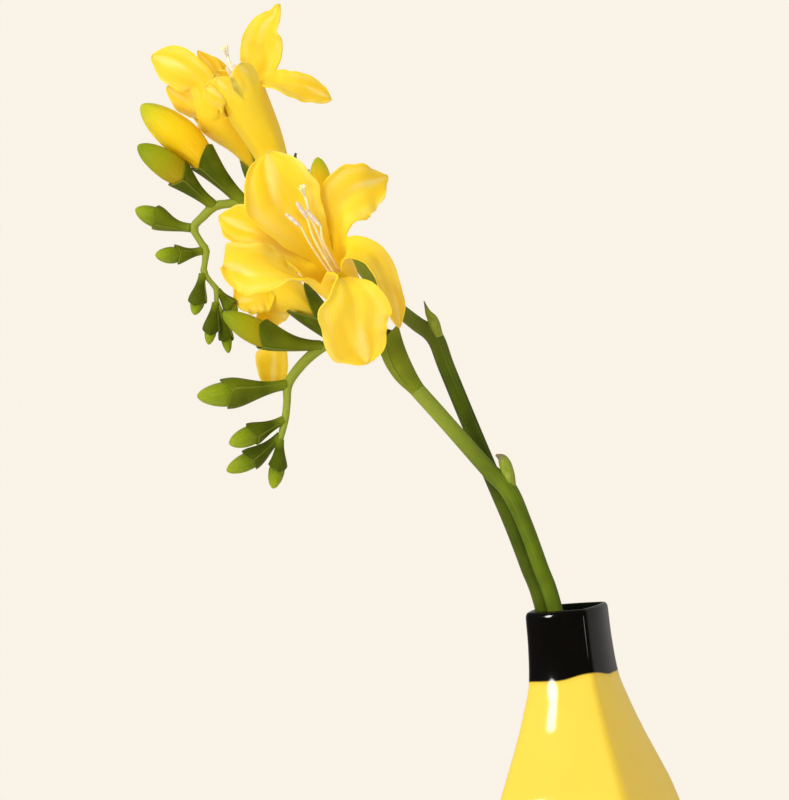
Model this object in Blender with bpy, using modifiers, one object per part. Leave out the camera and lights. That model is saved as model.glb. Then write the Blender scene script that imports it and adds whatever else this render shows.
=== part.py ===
"""A cut freesia with two flowering stems, standing in a small square bottle of glazed ceramic.

The origin is the middle of the bottle's base, +Z is up, and the units are metres. The bottle's faces
look along the X and Y axes. The two stems lean out of the mouth to one side and bend over at their tips,
where the open flowers and the buds stand in two rows.

The plant is laid out on a leaning plane through the middle of the bottle's mouth. A spot on it is given in
millimetres: how far across to the right, how far up the plane, and how far in front of it.
"""

import math
from collections import namedtuple

import bmesh
import bpy
import numpy as np
from mathutils import Vector

MM = 0.001

# Bottle
VASE_HEIGHT = 130.0
VASE_FLOOR = 4.0
MOUTH_WALL = 1.4
BODY_WALL = 2.3
CORNER_STEPS = 3
SHOULDER = 40.0
NECK = 100.0
NECK_LENGTH = 25.0
LEAST_CORNER = 0.9
INNER_FOOT = 2.0
WATER_LEVEL = 96.0
# height, half of the side and corner radius of the bottle's outside, from the base up
VASE_OUTSIDE = (
    (0.0, 25.4, 5.5),
    (1.2, 26.2, 5.5),
    (8.0, 27.4, 5.5),
    (18.0, 28.0, 5.5),
    (30.0, 27.9, 5.2),
    (45.0, 26.4, 4.6),
    (62.0, 22.8, 3.8),
    (73.0, 20.1, 3.4),
    (81.5, 18.0, 3.1),
    (89.4, 15.5, 2.9),
    (97.0, 13.1, 2.8),
    (103.0, 11.4, 2.7),
    (110.5, 9.6, 2.5),
    (120.0, 8.9, 2.3),
    (129.3, 8.65, 2.3),
)

# The leaning plane that the plant is laid out on
PLANE_TURN = math.radians(23.0)
PLANE_RISE = math.radians(4.0)
PLANE_LEAN = math.radians(6.0)

# Walls, and the clearance between pieces that touch on the real plant
GAP = 0.3
PETAL = 0.7
BRACT = 0.6
BRACT_ROOM = 0.1
STAMEN_GAP = 0.35
WELD = 0.02

# Stems: spots and radius. The foot of each stands on the bottle's floor, given as x, y, z.
FRONT_FOOT = ((16.0, -3.5, 4.5), (9.5, -4.0, 50.0), (3.4, -4.3, 96.0))
REAR_FOOT = ((10.0, 5.5, 4.5), (3.5, 3.0, 50.0), (-2.2, -0.6, 96.0))
FRONT_STEM = (
    ((-3.2, 0, 3.6), 2.05),
    ((-6.8, 10.4, 3.9), 2.05),
    ((-11, 21.8, 4.6), 2.05),
    ((-14.6, 31.5, 5), 2.3),
    ((-18.8, 36.7, 4.9), 2.05),
    ((-26.9, 45.8, 4.2), 1.85),
    ((-35.4, 55.6, 3.4), 1.85),
    ((-42.2, 63.7, 2.4), 1.8),
)
FRONT_RACHIS = (
    ((-46.4, 67.9, -0.8), 1.15),
    ((-53.1, 69.9, -3), 1.0),
    ((-59.4, 69.2, -3.5), 1.0),
    ((-63.5, 67.6, -2), 1.15),
    ((-68.5, 63.7, -0.5), 0.95),
    ((-72.4, 58.2, 0), 1.05),
    ((-72.6, 53.3, 0.3), 0.85),
    ((-73.1, 48.9, 0.5), 0.9),
    ((-74.4, 43.4, 0.5), 0.75),
)
REAR_STEM = (
    ((-6.1, -0.3, 0.4), 1.7),
    ((-9.7, 10.4, -0.1), 1.7),
    ((-13.6, 21.8, -1), 1.7),
    ((-18.5, 32.2, -2.6), 1.7),
    ((-25, 47.3, -4.2), 1.7),
    ((-31.3, 62.1, -5.2), 1.75),
    ((-34.4, 70.2, -5.8), 1.95),
    ((-39.1, 73.8, -6.2), 1.7),
    ((-45.8, 79.3, -7), 1.6),
    ((-52.1, 87.1, -8), 1.6),
    ((-57.8, 94.1, -8.6), 1.5),
    ((-64.6, 99.1, -8.8), 1.35),
    ((-71.6, 102.4, -8), 1.3),
    ((-78.6, 104.3, -6.8), 1.2),
    ((-84.1, 105.6, -5), 1.15),
)
REAR_RACHIS = (
    ((-87.7, 105, -4.2), 0.95),
    ((-91.6, 104.3, -3.4), 1.05),
    ((-94.7, 101.4, -3), 0.8),
    ((-97.3, 98.5, -2.4), 0.95),
    ((-96, 95.4, -2.4), 0.75),
    ((-93.9, 92.8, -2.2), 0.9),
    ((-94.2, 89.7, -2.2), 0.7),
    ((-94.5, 87.1, -2), 0.8),
    ((-92.9, 84.8, -2.4), 0.6),
    ((-91.1, 82.7, -2.6), 0.7),
    ((-91.1, 79.6, -2.6), 0.55),
    ((-89.8, 77, -2.8), 0.5),
)
# Cut side shoots at the nodes of the stems
FRONT_STUB = (
    ((-14.4, 31.2, 5), 1.9),
    ((-15.4, 35.6, 5), 1.9),
    ((-17, 39, 5), 1.5),
    ((-18.5, 40.3, 5), 0.4),
)
REAR_STUB = (
    ((-33.6, 70.5, -5.8), 1.5),
    ((-34.7, 74.4, -5.2), 1.5),
    ((-35.4, 77, -5), 1.0),
    ((-37, 79.6, -5), 0.3),
)

# A bud: its name, the spots from its foot to its tip, its widest radius, the share that its bract covers, its
# sides, and how far its foot stands off the middle of its stem
Bud = namedtuple("Bud", "name spots radius cover sides lift", defaults=(0.8,))
FRONT_BUDS = (
    Bud(
        "bud_front_1",
        ((-63, 67.9, -1.6), (-70.8, 68.6, 1), (-79.1, 71.2, 3), (-89, 76.2, 3.5)),
        3.3, 0.62, 8, 1.1,
    ),
    Bud(
        "bud_front_2",
        ((-72.1, 58, 0), (-79.1, 56.9, 1.5), (-87.2, 55.9, 2), (-95.8, 54.9, 1.5)),
        3.1, 0.68, 8,
    ),
    Bud("bud_front_3", ((-72.9, 48.9, 0.5), (-79.1, 46.3, 2), (-87.2, 42.9, 3)), 2.2, 0.58, 6),
    Bud("bud_front_4", ((-73.9, 45, 0.4), (-80.4, 40, -2.2), (-88, 36.1, -3.4)), 1.9, 0.6, 6, 0.7),
    Bud("bud_front_5", ((-74.4, 43.4, 0.5), (-74.7, 37.4, 2.6), (-76, 31.5, 2.8)), 1.7, 0.6, 6, 0.9),
)
REAR_BUDS = (
    Bud("bud_rear_1", ((-61.4, 96.5, -9), (-62.7, 104.5, -9.5), (-64.6, 117, -7)), 3.4, 0.45, 8, 1.8),
    Bud(
        "bud_rear_2",
        ((-84.1, 105.3, -5), (-89.5, 112.1, -3.5), (-98.4, 121.7, -3), (-110.3, 130.3, -4)),
        4.6, 0.46, 8,
    ),
    Bud(
        "bud_rear_3",
        ((-91.6, 104.3, -3.4), (-96.5, 108.4, -1), (-103.6, 114.4, 1), (-111.1, 119.1, 1)),
        3.2, 0.52, 8,
    ),
    Bud(
        "bud_rear_4",
        ((-97.1, 98.5, -2.4), (-102.5, 99.8, -3.4), (-108, 102.2, -4), (-111.9, 103.7, -4)),
        2.2, 0.66, 8,
    ),
    Bud("bud_rear_5", ((-94.2, 92.8, -2.2), (-99.9, 91.5, -0.8), (-106.7, 91.5, 0)), 1.9, 0.5, 6),
    Bud("bud_rear_6", ((-94.5, 87.4, -2), (-95.5, 81.9, -1), (-96.5, 76.7, -1)), 1.5, 0.7, 6),
    Bud("bud_rear_7", ((-91.1, 82.9, -2.6), (-89, 80.3, -4), (-85.9, 77, -5)), 1.2, 0.7, 6),
    Bud("bud_rear_8", ((-91.1, 79.8, -2.6), (-91.9, 74.4, -1), (-92.9, 69.2, -0.8)), 1.25, 0.7, 6),
    Bud("bud_rear_9", ((-90, 77.2, -2.8), (-89, 72, -4.2), (-88.2, 66.8, -4.6)), 1.1, 0.7, 6),
)

# A petal: spots past the flower's throat, the way its inner face looks at the tip (across, up, in front),
# half its width, where it is widest, how pointed it ends, how far it cups and how far its edge waves
Petal = namedtuple("Petal", "spots facing half widest point cup wave")
# A petal of a flower's regular ring: its length, how far it opens from the flower's axis, and the same shape
Ring = namedtuple("Ring", "length opening half widest point cup wave")
# A flower: the spots from the foot of its tube to its throat, the radius of tube and throat, the direction
# of its first petal, its petals in turn, how far up its tube the two tips of its bract reach, where the
# middle of its anthers stands and how wide they spread
Bloom = namedtuple("Bloom", "name stem spots tube throat first petals bract anthers spread")

CENTRE_BLOOM = Bloom(
    "bloom_front_1",
    "stem_front",
    ((-42.7, 63.7, 2.4), (-46.1, 68.1, 7), (-54.9, 78.5, 14), (-62, 88.1, 21.5)),
    1.5,
    6.8,
    (-0.19, 0.51, -0.84),
    (
        Petal(
            ((-69.2, 99.6, 22), (-73.7, 107.4, 26), (-77.8, 116.2, 25)),
            (0.1, -0.35, 0.93), 10.0, 0.66, 0.4, 0.3, 0.3,
        ),
        Petal(
            ((-73.9, 93.9, 18.5), (-81.5, 98, 20), (-89.5, 100.9, 18)),
            (0.2, 0.2, 0.95), 5.8, 0.6, 0.45, 0.3, 0.7,
        ),
        Petal(
            ((-71.6, 85.5, 26), (-80.4, 87.1, 27), (-88.7, 88.1, 23)),
            (0.1, -0.25, 0.95), 6.4, 0.62, 0.4, 0.25, 0.8,
        ),
        Petal(
            ((-58.8, 84.8, 30), (-56.2, 81.9, 31.5), (-54.4, 73.1, 29), (-53.1, 62.7, 23)),
            (0, 0.1, 1), 9.0, 0.45, 0.5, 0.12, 0.2,
        ),
        Petal(
            ((-54.7, 92.3, 28), (-51.3, 94.6, 29), (-47.7, 91.8, 27), (-44.8, 85, 20), (-43, 72.8, 9)),
            (0.75, 0.2, 0.6), 5.6, 0.5, 0.6, 0.3, 0.2,
        ),
        Petal(
            ((-58.8, 97, 21.5), (-57.8, 102.2, 22.5), (-55.5, 106.9, 22), (-53.1, 113.9, 17)),
            (-0.1, -0.2, 0.97), 7.4, 0.72, 0.34, 0.2, 0.6,
        ),
    ),
    (0.36, 0.3),
    (-68.5, 102.2, 29.5),
    1.0,
)
LOWER_BLOOM = Bloom(
    "bloom_front_2",
    "stem_front",
    ((-59.4, 69.4, -3.2), (-63, 73.3, 0.5), (-68.5, 78.5, -4), (-73.4, 81.6, -10)),
    1.5,
    5.2,
    (-0.4, -0.9, 0.0),
    (
        Petal(
            ((-77, 75.9, -12.5), (-77.6, 72, -11.5), (-76.8, 66.3, -9), (-76.5, 56.4, -8.5)),
            (0.2, 0.0, 0.95), 4.5, 0.6, 0.5, 0.2, 0.3,
        ),
        Petal(
            ((-79.9, 79.8, -6.5), (-82.2, 79.3, -6), (-84.6, 79, -5.5)),
            (-0.1, 0.6, 0.8), 3.6, 0.7, 0.45, 0.2, 0.4,
        ),
        Ring(13.0, 34.0, 3.4, 0.7, 0.45, 0.3, 0.3),
        Ring(13.0, 60.0, 3.8, 0.7, 0.45, 0.3, 0.3),
        Ring(13.0, 40.0, 3.4, 0.7, 0.45, 0.3, 0.3),
        Ring(12.0, 60.0, 3.8, 0.7, 0.45, 0.3, 0.3),
    ),
    (0.78, 0.74),
    (-76.8, 84, -14.5),
    0.7,
)
TOP_BLOOM = Bloom(
    "bloom_rear_1",
    "stem_rear",
    ((-71.6, 102.7, -8), (-72.4, 110.5, -5), (-75.7, 121.4, -2), (-83, 132.9, 1)),
    1.5,
    6.4,
    (0.87, 0.45, 0.0),
    (
        Petal(
            ((-76.3, 137, 1.5), (-72.9, 136.8, 3), (-67.7, 135.2, 3), (-61.2, 132.1, 0)),
            (0.1, 0.4, 0.9), 4.2, 0.5, 0.75, 0.15, 0.3,
        ),
        Petal(
            ((-79.6, 141.7, -6), (-79.1, 148.5, -7), (-74.7, 156.5, -5)),
            (-0.3, 0.0, 0.95), 5.6, 0.42, 0.7, 0.3, 0.6,
        ),
        Ring(10.5, 4.0, 3.4, 0.6, 0.5, 0.5, 0.1),
        Ring(10.5, 24.0, 3.4, 0.6, 0.5, 0.4, 0.2),
        Ring(10.0, 6.0, 3.4, 0.6, 0.5, 0.5, 0.1),
        Ring(10.0, 34.0, 4.0, 0.6, 0.5, 0.3, 0.3),
    ),
    (0.36, 0.28),
    (-85.9, 141.7, 4),
    1.0,
)
LEFT_BLOOM = Bloom(
    "bloom_rear_2",
    "stem_rear",
    ((-78.9, 104.3, -8), (-80.2, 111, -10), (-84.3, 119.3, -10), (-90.8, 127.9, -9)),
    1.4,
    4.8,
    (0.74, 0.67, 0.0),
    (
        Petal(
            ((-89, 133.9, -9.5), (-90.8, 137.8, -10), (-92.9, 141.7, -10)),
            (0.2, 0.2, -0.95), 2.3, 0.5, 0.7, 0.5, 0.1,
        ),
        Ring(12.0, 34.0, 2.4, 0.6, 0.6, 0.4, 0.1),
        Ring(12.0, 30.0, 2.4, 0.6, 0.6, 0.4, 0.1),
        Petal(
            ((-96.5, 127.7, -7.5), (-100.7, 131.6, -7.5), (-105.4, 135.5, -8)),
            (0.1, 0.2, -0.97), 3.3, 0.5, 0.6, 0.5, 0.1,
        ),
        Petal(
            ((-96, 133.9, -2), (-101, 138.3, -1.5), (-107.7, 142.5, -4)),
            (0.1, 0.15, -0.98), 6.0, 0.66, 0.42, 0.5, 0.2,
        ),
        Petal(
            ((-91.1, 133.9, -5.5), (-92.9, 139.1, -7), (-95.5, 145.3, -8)),
            (0.2, 0.2, -0.95), 2.6, 0.5, 0.7, 0.5, 0.1,
        ),
    ),
    (0.42, 0.32),
    (-93.2, 131, -10.2),
    0.4,
)
BLOOMS = (CENTRE_BLOOM, LOWER_BLOOM, TOP_BLOOM, LEFT_BLOOM)

# How far the foot of a flower's tube stands off the middle of its stem
FLOWER_LIFT = 2.8
# The share of a petal that stays as wide as its part of the throat
HOLD = 0.12
# How fine the sheets are
PETAL_COLUMNS = 4
TUBE_ROWS = 5
PETAL_ROWS = 8
CUP_ROWS = 3
TIP_ROWS = 3
BLOOM_BRACT_SIDES = 8


def clear_scene():
    for scene_object in list(bpy.data.objects):
        bpy.data.objects.remove(scene_object, do_unlink=True)


def new_collection(name, hidden=False):
    collection = bpy.data.collections.new(name)
    collection.hide_render = hidden
    bpy.context.scene.collection.children.link(collection)
    return collection


def new_material(name, colour, roughness, coat=0.0):
    material = bpy.data.materials.new(name)
    material.use_nodes = True
    shader = material.node_tree.nodes["Principled BSDF"]
    shader.inputs["Base Color"].default_value = (*colour, 1.0)
    shader.inputs["Roughness"].default_value = roughness
    shader.inputs["Metallic"].default_value = 0.0
    shader.inputs["Coat Weight"].default_value = coat
    return material


def layout_axes():
    """The leaning plane's directions: across to the right, up the plane, and out of its front."""
    turn, rise, lean = PLANE_TURN, PLANE_RISE, PLANE_LEAN
    level = Vector((math.cos(turn), math.sin(turn), 0.0))
    steep = Vector((-math.sin(turn) * math.sin(rise), math.cos(turn) * math.sin(rise), math.cos(rise)))
    front = Vector((math.sin(turn) * math.cos(rise), -math.cos(turn) * math.cos(rise), math.sin(rise)))
    across = level * math.cos(lean) - steep * math.sin(lean)
    up = level * math.sin(lean) + steep * math.cos(lean)
    return across, up, front


ACROSS, UP, FRONT = layout_axes()
MOUTH = Vector((0.0, 0.0, VASE_HEIGHT * MM))


def heading(parts):
    """A direction on the leaning plane."""
    return (ACROSS * parts[0] + UP * parts[1] + FRONT * parts[2]).normalized()


def spot(place):
    """A point in metres, from its millimetres on the leaning plane."""
    across, up, front = place
    return MOUTH + (ACROSS * across + UP * up + FRONT * front) * MM


def ease(amount):
    """Runs smoothly from 0 to 1 as the amount does."""
    amount = min(max(amount, 0.0), 1.0)
    return amount * amount * (3.0 - 2.0 * amount)


def blend(start, end, amount):
    return start + (end - start) * amount


class Path:
    """One smooth curve through some points, read by the share of its length."""

    STEPS = 24

    def __init__(self, points, values=None):
        points = [Vector(p) for p in points]
        ends = [points[0] * 2 - points[1], *points, points[-1] * 2 - points[-2]]
        values = list(values or [0.0] * len(points))
        levels = [values[0], *values, values[-1]]
        fine = []
        for i in range(1, len(ends) - 2):
            for step in range(self.STEPS):
                t = step / self.STEPS
                point = self.between(ends[i - 1 : i + 3], t)
                level = self.between(levels[i - 1 : i + 3], t)
                fine.append((*point, level))
        fine.append((*points[-1], values[-1]))
        self.fine = np.array(fine)
        sides = np.linalg.norm(np.diff(self.fine[:, :3], axis=0), axis=1)
        self.reach = np.concatenate([[0.0], np.cumsum(sides)])
        self.length = float(self.reach[-1])

    @staticmethod
    def between(four, t):
        """The point at t between the second and the third of four, on the curve through all four."""
        a, b, c, d = four
        bend = a * -1 + b * 3 - c * 3 + d
        swing = a * 2 - b * 5 + c * 4 - d
        return b + (c - a) * (0.5 * t) + swing * (0.5 * t * t) + bend * (0.5 * t * t * t)

    def after(self, start):
        """The same curve without its first millimetres."""
        first = start * MM / self.length
        return Path([self.point(blend(first, 1.0, k / 8)) for k in range(9)])

    def read(self, share):
        reach = min(max(share, 0.0), 1.0) * self.length
        return [float(np.interp(reach, self.reach, self.fine[:, k])) for k in range(4)]

    def point(self, share):
        return Vector(self.read(share)[:3])

    def value(self, share):
        return self.read(share)[3]

    def tangent(self, share):
        low = max(share - 0.02, 0.0)
        high = min(share + 0.02, 1.0)
        return (self.point(high) - self.point(low)).normalized()


def square_to(direction, axis):
    """The direction with what runs along the axis taken out."""
    return (direction - axis * direction.dot(axis)).normalized()


class Tube:
    """The space round a path: a point at a share of its length, an angle and a distance from its middle."""

    STEPS = 40

    def __init__(self, path, first, share=1.0):
        self.path = path
        side = square_to(first, path.tangent(share))
        shares = [k / self.STEPS for k in range(self.STEPS + 1)]
        start = round(share * self.STEPS)
        sides = {start: side}
        for order in (range(start + 1, self.STEPS + 1), range(start - 1, -1, -1)):
            carried = side
            for k in order:
                carried = square_to(carried, path.tangent(shares[k]))
                sides[k] = carried
        self.sides = [sides[k] for k in range(self.STEPS + 1)]

    def outward(self, share, angle):
        axis = self.path.tangent(share)
        side = square_to(self.sides[round(min(max(share, 0.0), 1.0) * self.STEPS)], axis)
        return side * math.cos(angle) + axis.cross(side) * math.sin(angle)

    def point(self, share, angle, radius):
        return self.path.point(share) + self.outward(share, angle) * radius


def add_strip(bm, columns, rows, place):
    """A flat grid whose point at column u from -1 to 1 and row k is moved to place(u, k)."""
    made = bmesh.ops.create_grid(bm, x_segments=columns, y_segments=rows, size=1.0)
    for vertex in made["verts"]:
        row = round((vertex.co.y + 1.0) / 2.0 * rows)
        vertex.co = place(vertex.co.x, row)


def close_foot(bm, foot, reach):
    """Fills the open end of a wrapped sheet whose rim lies within reach of its foot."""
    rim = [e for e in bm.edges if e.is_boundary and all((v.co - foot).length < reach for v in e.verts)]
    bmesh.ops.edgeloop_fill(bm, edges=rim)


def object_from(bm, name, collection, material):
    mesh = bpy.data.meshes.new(name)
    bm.to_mesh(mesh)
    bm.free()
    made = bpy.data.objects.new(name, mesh)
    collection.objects.link(made)
    mesh.materials.append(material)
    return made


def apply_modifiers(scene_object):
    bpy.context.view_layer.update()
    graph = bpy.context.evaluated_depsgraph_get()
    mesh = bpy.data.meshes.new_from_object(scene_object.evaluated_get(graph))
    scene_object.modifiers.clear()
    old = scene_object.data
    scene_object.data = mesh
    bpy.data.meshes.remove(old)
    mesh.name = scene_object.name


def thicken(scene_object, wall):
    """Gives a sheet its wall, half on each side, and keeps the triangles alike on both faces."""
    solidify = scene_object.modifiers.new("wall", "SOLIDIFY")
    solidify.thickness = wall * MM
    solidify.offset = 0.0
    apply_modifiers(scene_object)


def keep_largest(scene_object):
    """Drops the loose scraps and the sealed hollows that a join leaves behind."""
    bm = bmesh.new()
    bm.from_mesh(scene_object.data)
    left = set(bm.verts)
    islands = []
    while left:
        island = {left.pop()}
        edge = list(island)
        while edge:
            vertex = edge.pop()
            for link in vertex.link_edges:
                other = link.other_vert(vertex)
                if other in left:
                    left.discard(other)
                    island.add(other)
                    edge.append(other)
        islands.append(island)
    islands.sort(key=len)
    for island in islands[:-1]:
        bmesh.ops.delete(bm, geom=list(island), context="VERTS")
    bm.to_mesh(scene_object.data)
    bm.free()


def shade(scene_object, angle=50.0):
    scene_object.data.shade_smooth()
    scene_object.data.set_sharp_from_angle(angle=math.radians(angle))


def fuse(scene_object, others):
    """Joins the others to the object as one body and removes them."""
    group = bpy.data.collections.new("to_join")
    bpy.context.scene.collection.children.link(group)
    for other in others:
        for holder in list(other.users_collection):
            holder.objects.unlink(other)
        group.objects.link(other)
    boolean = scene_object.modifiers.new("join", "BOOLEAN")
    boolean.operation = "UNION"
    boolean.operand_type = "COLLECTION"
    boolean.collection = group
    boolean.solver = "MANIFOLD"
    apply_modifiers(scene_object)
    for other in others:
        bpy.data.objects.remove(other, do_unlink=True)
    bpy.data.collections.remove(group)
    keep_largest(scene_object)


def rounded_square(half, corner, height):
    """One level outline of the bottle, four rounded corners joined by its flat sides."""
    points = []
    for quarter in range(4):
        middle = math.radians(45 + 90 * quarter)
        centre = (half - corner) * math.sqrt(2)
        for step in range(CORNER_STEPS + 1):
            angle = math.radians(90 * quarter + 90 * step / CORNER_STEPS)
            x = centre * math.cos(middle) + corner * math.cos(angle)
            y = centre * math.sin(middle) + corner * math.sin(angle)
            points.append(Vector((x, y, height)) * MM)
    return points


def loft(bm, rings):
    """A closed body whose skin runs through the rings in turn, with its first and last ring filled."""
    made = [[bm.verts.new(point) for point in ring] for ring in rings]
    for low, high in zip(made, made[1:]):
        for i in range(len(low)):
            j = (i + 1) % len(low)
            bm.faces.new((low[i], low[j], high[j], high[i]))
    bm.faces.new(list(reversed(made[0])))
    bm.faces.new(made[-1])


def vase_outside(height):
    """Half of the side and the corner radius of the bottle's outside at a height."""
    heights = [level for level, half, corner in VASE_OUTSIDE]
    points = [Vector((half, corner, 0.0)) for level, half, corner in VASE_OUTSIDE]
    k = int(np.clip(np.searchsorted(heights, height) - 1, 0, len(heights) - 2))
    t = (height - heights[k]) / (heights[k + 1] - heights[k])
    ends = [points[max(k - 1, 0)], points[k], points[k + 1], points[min(k + 2, len(points) - 1)]]
    found = Path.between(ends, min(max(t, 0.0), 1.0))
    return found.x, found.y


def vase_inside(height):
    half, corner = vase_outside(height)
    wall = blend(BODY_WALL, MOUTH_WALL, ease((height - NECK) / NECK_LENGTH))
    return half - wall, max(corner - wall, LEAST_CORNER)


def make_vase(collection):
    heights = [level for level, half, corner in VASE_OUTSIDE]
    lip = heights[-1]
    levels = []
    for low, high in zip(heights, heights[1:]):
        levels += [low, (low + high) / 2] if high > SHOULDER else [low]
    levels.append(lip)
    rings = [rounded_square(*vase_outside(level), level) for level in levels]
    outer, corner = vase_outside(lip)
    lip_radius = MOUTH_WALL / 2
    for step in (1, 2, 3):
        turn = math.radians(45 * step)
        inset = lip_radius * (1 - math.cos(turn))
        rise = lip_radius * math.sin(turn)
        rings.append(rounded_square(outer - inset, max(corner - inset, LEAST_CORNER), lip + rise))
    inside = [lip] + [level for level in reversed(heights[:-1]) if level > VASE_FLOOR + INNER_FOOT]
    for level in inside:
        rings.append(rounded_square(*vase_inside(level), level))
    half, corner = vase_inside(VASE_FLOOR + INNER_FOOT)
    rings.append(rounded_square(half - 0.3 * INNER_FOOT, corner, VASE_FLOOR + 0.3 * INNER_FOOT))
    rings.append(rounded_square(half - 0.9 * INNER_FOOT, corner, VASE_FLOOR))
    bm = bmesh.new()
    loft(bm, rings)
    glaze = new_material("glazed_ceramic_yellow", (0.96, 0.72, 0.06), 0.2, 0.6)
    vase = object_from(bm, "vase", collection, glaze)
    shade(vase, 35.0)


def make_water(collection, stems):
    """The water, a little clear of the bottle's inside, with a plain hole for each stem."""
    foot = VASE_FLOOR + INNER_FOOT + GAP
    turns = [level for level, half, corner in VASE_OUTSIDE if foot + 2.0 < level < WATER_LEVEL - 2.0]
    half, corner = vase_inside(foot)
    rings = [rounded_square(half - INNER_FOOT - 1.5 * GAP, corner, VASE_FLOOR + GAP)]
    for level in (foot, *turns, WATER_LEVEL):
        half, corner = vase_inside(level)
        rings.append(rounded_square(half - 1.5 * GAP, corner, level))
    bm = bmesh.new()
    loft(bm, rings)
    clear = new_material("water", (0.75, 0.83, 0.82), 0.05)
    water = object_from(bm, "water", collection, clear)
    cutters = new_collection("cutters", hidden=True)
    for name, points in stems:
        cutter = stem_mesh(name + "_hole", points, cutters, clear, extra=1.4 * GAP, below=2.0 * INNER_FOOT)
        cutter.hide_render = True
        cutter.display_type = "WIRE"
        hole = water.modifiers.new(name, "BOOLEAN")
        hole.operation = "DIFFERENCE"
        hole.object = cutter
    apply_modifiers(water)
    for cutter in list(cutters.objects):
        bpy.data.objects.remove(cutter, do_unlink=True)
    bpy.data.collections.remove(cutters)
    shade(water, 35.0)


def stem_mesh(name, points, collection, material, extra=0.0, below=0.0, spacing=9.0, roundness=2):
    """A round stem as a mesh, its curve bevelled to the radius at each point and its ends filled.

    The hole that a stem stands in is the same shape, made wider by extra and longer at its foot by below.
    """
    path = Path([place for place, radius in points], [radius for place, radius in points])
    count = max(4, round(path.length / (spacing * MM)))
    curve = bpy.data.curves.new(name, "CURVE")
    curve.dimensions = "3D"
    curve.bevel_depth = MM
    curve.bevel_resolution = roundness
    curve.use_fill_caps = True
    spline = curve.splines.new("POLY")
    spline.points.add(count)
    for k in range(count + 1):
        place = path.point(k / count)
        if k == 0:
            place = place - path.tangent(0.0) * below * MM
        spline.points[k].co = (*place, 1.0)
        spline.points[k].radius = path.value(k / count) + extra
    guide = bpy.data.objects.new(name + "_guide", curve)
    collection.objects.link(guide)
    bpy.context.view_layer.update()
    graph = bpy.context.evaluated_depsgraph_get()
    mesh = bpy.data.meshes.new_from_object(guide.evaluated_get(graph))
    bm = bmesh.new()
    bm.from_mesh(mesh)
    bmesh.ops.remove_doubles(bm, verts=bm.verts, dist=WELD * MM)
    bmesh.ops.recalc_face_normals(bm, faces=bm.faces)
    bm.to_mesh(mesh)
    bm.free()
    mesh.name = name
    mesh.materials.clear()
    mesh.materials.append(material)
    made = bpy.data.objects.new(name, mesh)
    made.matrix_world = guide.matrix_world
    collection.objects.link(made)
    bpy.data.objects.remove(guide, do_unlink=True)
    bpy.data.curves.remove(curve)
    return made


def bud_share(share):
    """The bud's radius along its length, as a share of its widest: slim foot, full middle, blunt tip."""
    if share < 0.6:
        return 0.26 + 0.74 * math.sin(math.pi / 2 * (max(share, 0.0) / 0.6) ** 2)
    past = (share - 0.6) / 0.4
    return max((1.0 - past * past) ** 0.6, 0.12)


def bract_sheet(name, tube, radius_at, split, tips, sides, collection, material):
    """The bract at the foot of a bud or flower: a small cup that ends in two pointed tips."""
    bm = bmesh.new()
    for lobe, tip in enumerate(tips):
        middle = math.pi * lobe

        def place(u, row, middle=middle, tip=tip):
            past = max(row - CUP_ROWS, 0) / TIP_ROWS
            share = split * row / CUP_ROWS if row <= CUP_ROWS else blend(split, tip, past)
            half = math.pi / 2 * (1.0 - past * past) + 0.16 * past
            return tube.point(share, middle + u * half, radius_at(share) * MM)

        add_strip(bm, sides // 2, CUP_ROWS + TIP_ROWS, place)
    bmesh.ops.remove_doubles(bm, verts=bm.verts, dist=WELD * MM)
    close_foot(bm, tube.path.point(0.0), (radius_at(0.0) + 0.2) * MM)
    bmesh.ops.recalc_face_normals(bm, faces=bm.faces)
    bmesh.ops.triangulate(bm, faces=bm.faces)
    bract = object_from(bm, name, collection, material)
    thicken(bract, BRACT)
    return bract


def make_bud(bud, collection, bud_material, bract_material):
    """A bud in its own node, and the bract that holds it, which its stem takes in."""
    path = Path([spot(place) for place in bud.spots]).after(bud.lift)
    tube = Tube(path, UP, 0.5)
    seat = (BRACT + GAP + 2 * BRACT_ROOM) * MM / path.length
    rows = bud.sides

    def bud_radius(share):
        return bud.radius * bud_share((share - seat) / (1.0 - seat))

    rings = []
    for row in range(rows + 1):
        share = blend(seat, 1.0, math.sin(math.pi / 2 * row / rows) if row else 0.0)
        radius = bud_radius(share) * MM
        angles = [2 * math.pi * k / bud.sides - math.pi / 2 for k in range(bud.sides)]
        rings.append([tube.point(share, angle, radius) for angle in angles])
    bm = bmesh.new()
    loft(bm, rings)
    made = object_from(bm, bud.name, collection, bud_material)
    shade(made)

    def bract_radius(share):
        return bud_radius(share) + GAP + BRACT_ROOM + BRACT / 2

    split = bud.cover * 0.62
    tips = (bud.cover, bud.cover * 0.9)
    return bract_sheet(
        bud.name + "_bract", tube, bract_radius, split, tips, bud.sides, collection, bract_material
    )


def tube_radius(bloom, share):
    """The flower's tube: slim at its foot, then a funnel up to the throat."""
    return blend(bloom.tube, bloom.throat, ease((share - 0.3) / 0.75) ** 1.1)


def ring_spots(tube, bloom, petal, angle):
    """The way of a petal that opens with the ring: out of the throat and over, a little more at each step."""
    place = tube.point(1.0, angle, bloom.throat * MM)
    axis = tube.path.tangent(1.0)
    outward = tube.outward(1.0, angle)
    step = petal.length * MM / 3
    spots = []
    for share in (0.45, 0.8, 1.1):
        turn = math.radians(petal.opening * share)
        place = place + (axis * math.cos(turn) + outward * math.sin(turn)) * step
        spots.append(place)
    turn = math.radians(petal.opening * 1.1)
    return spots, axis * math.sin(turn) - outward * math.cos(turn)


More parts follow.
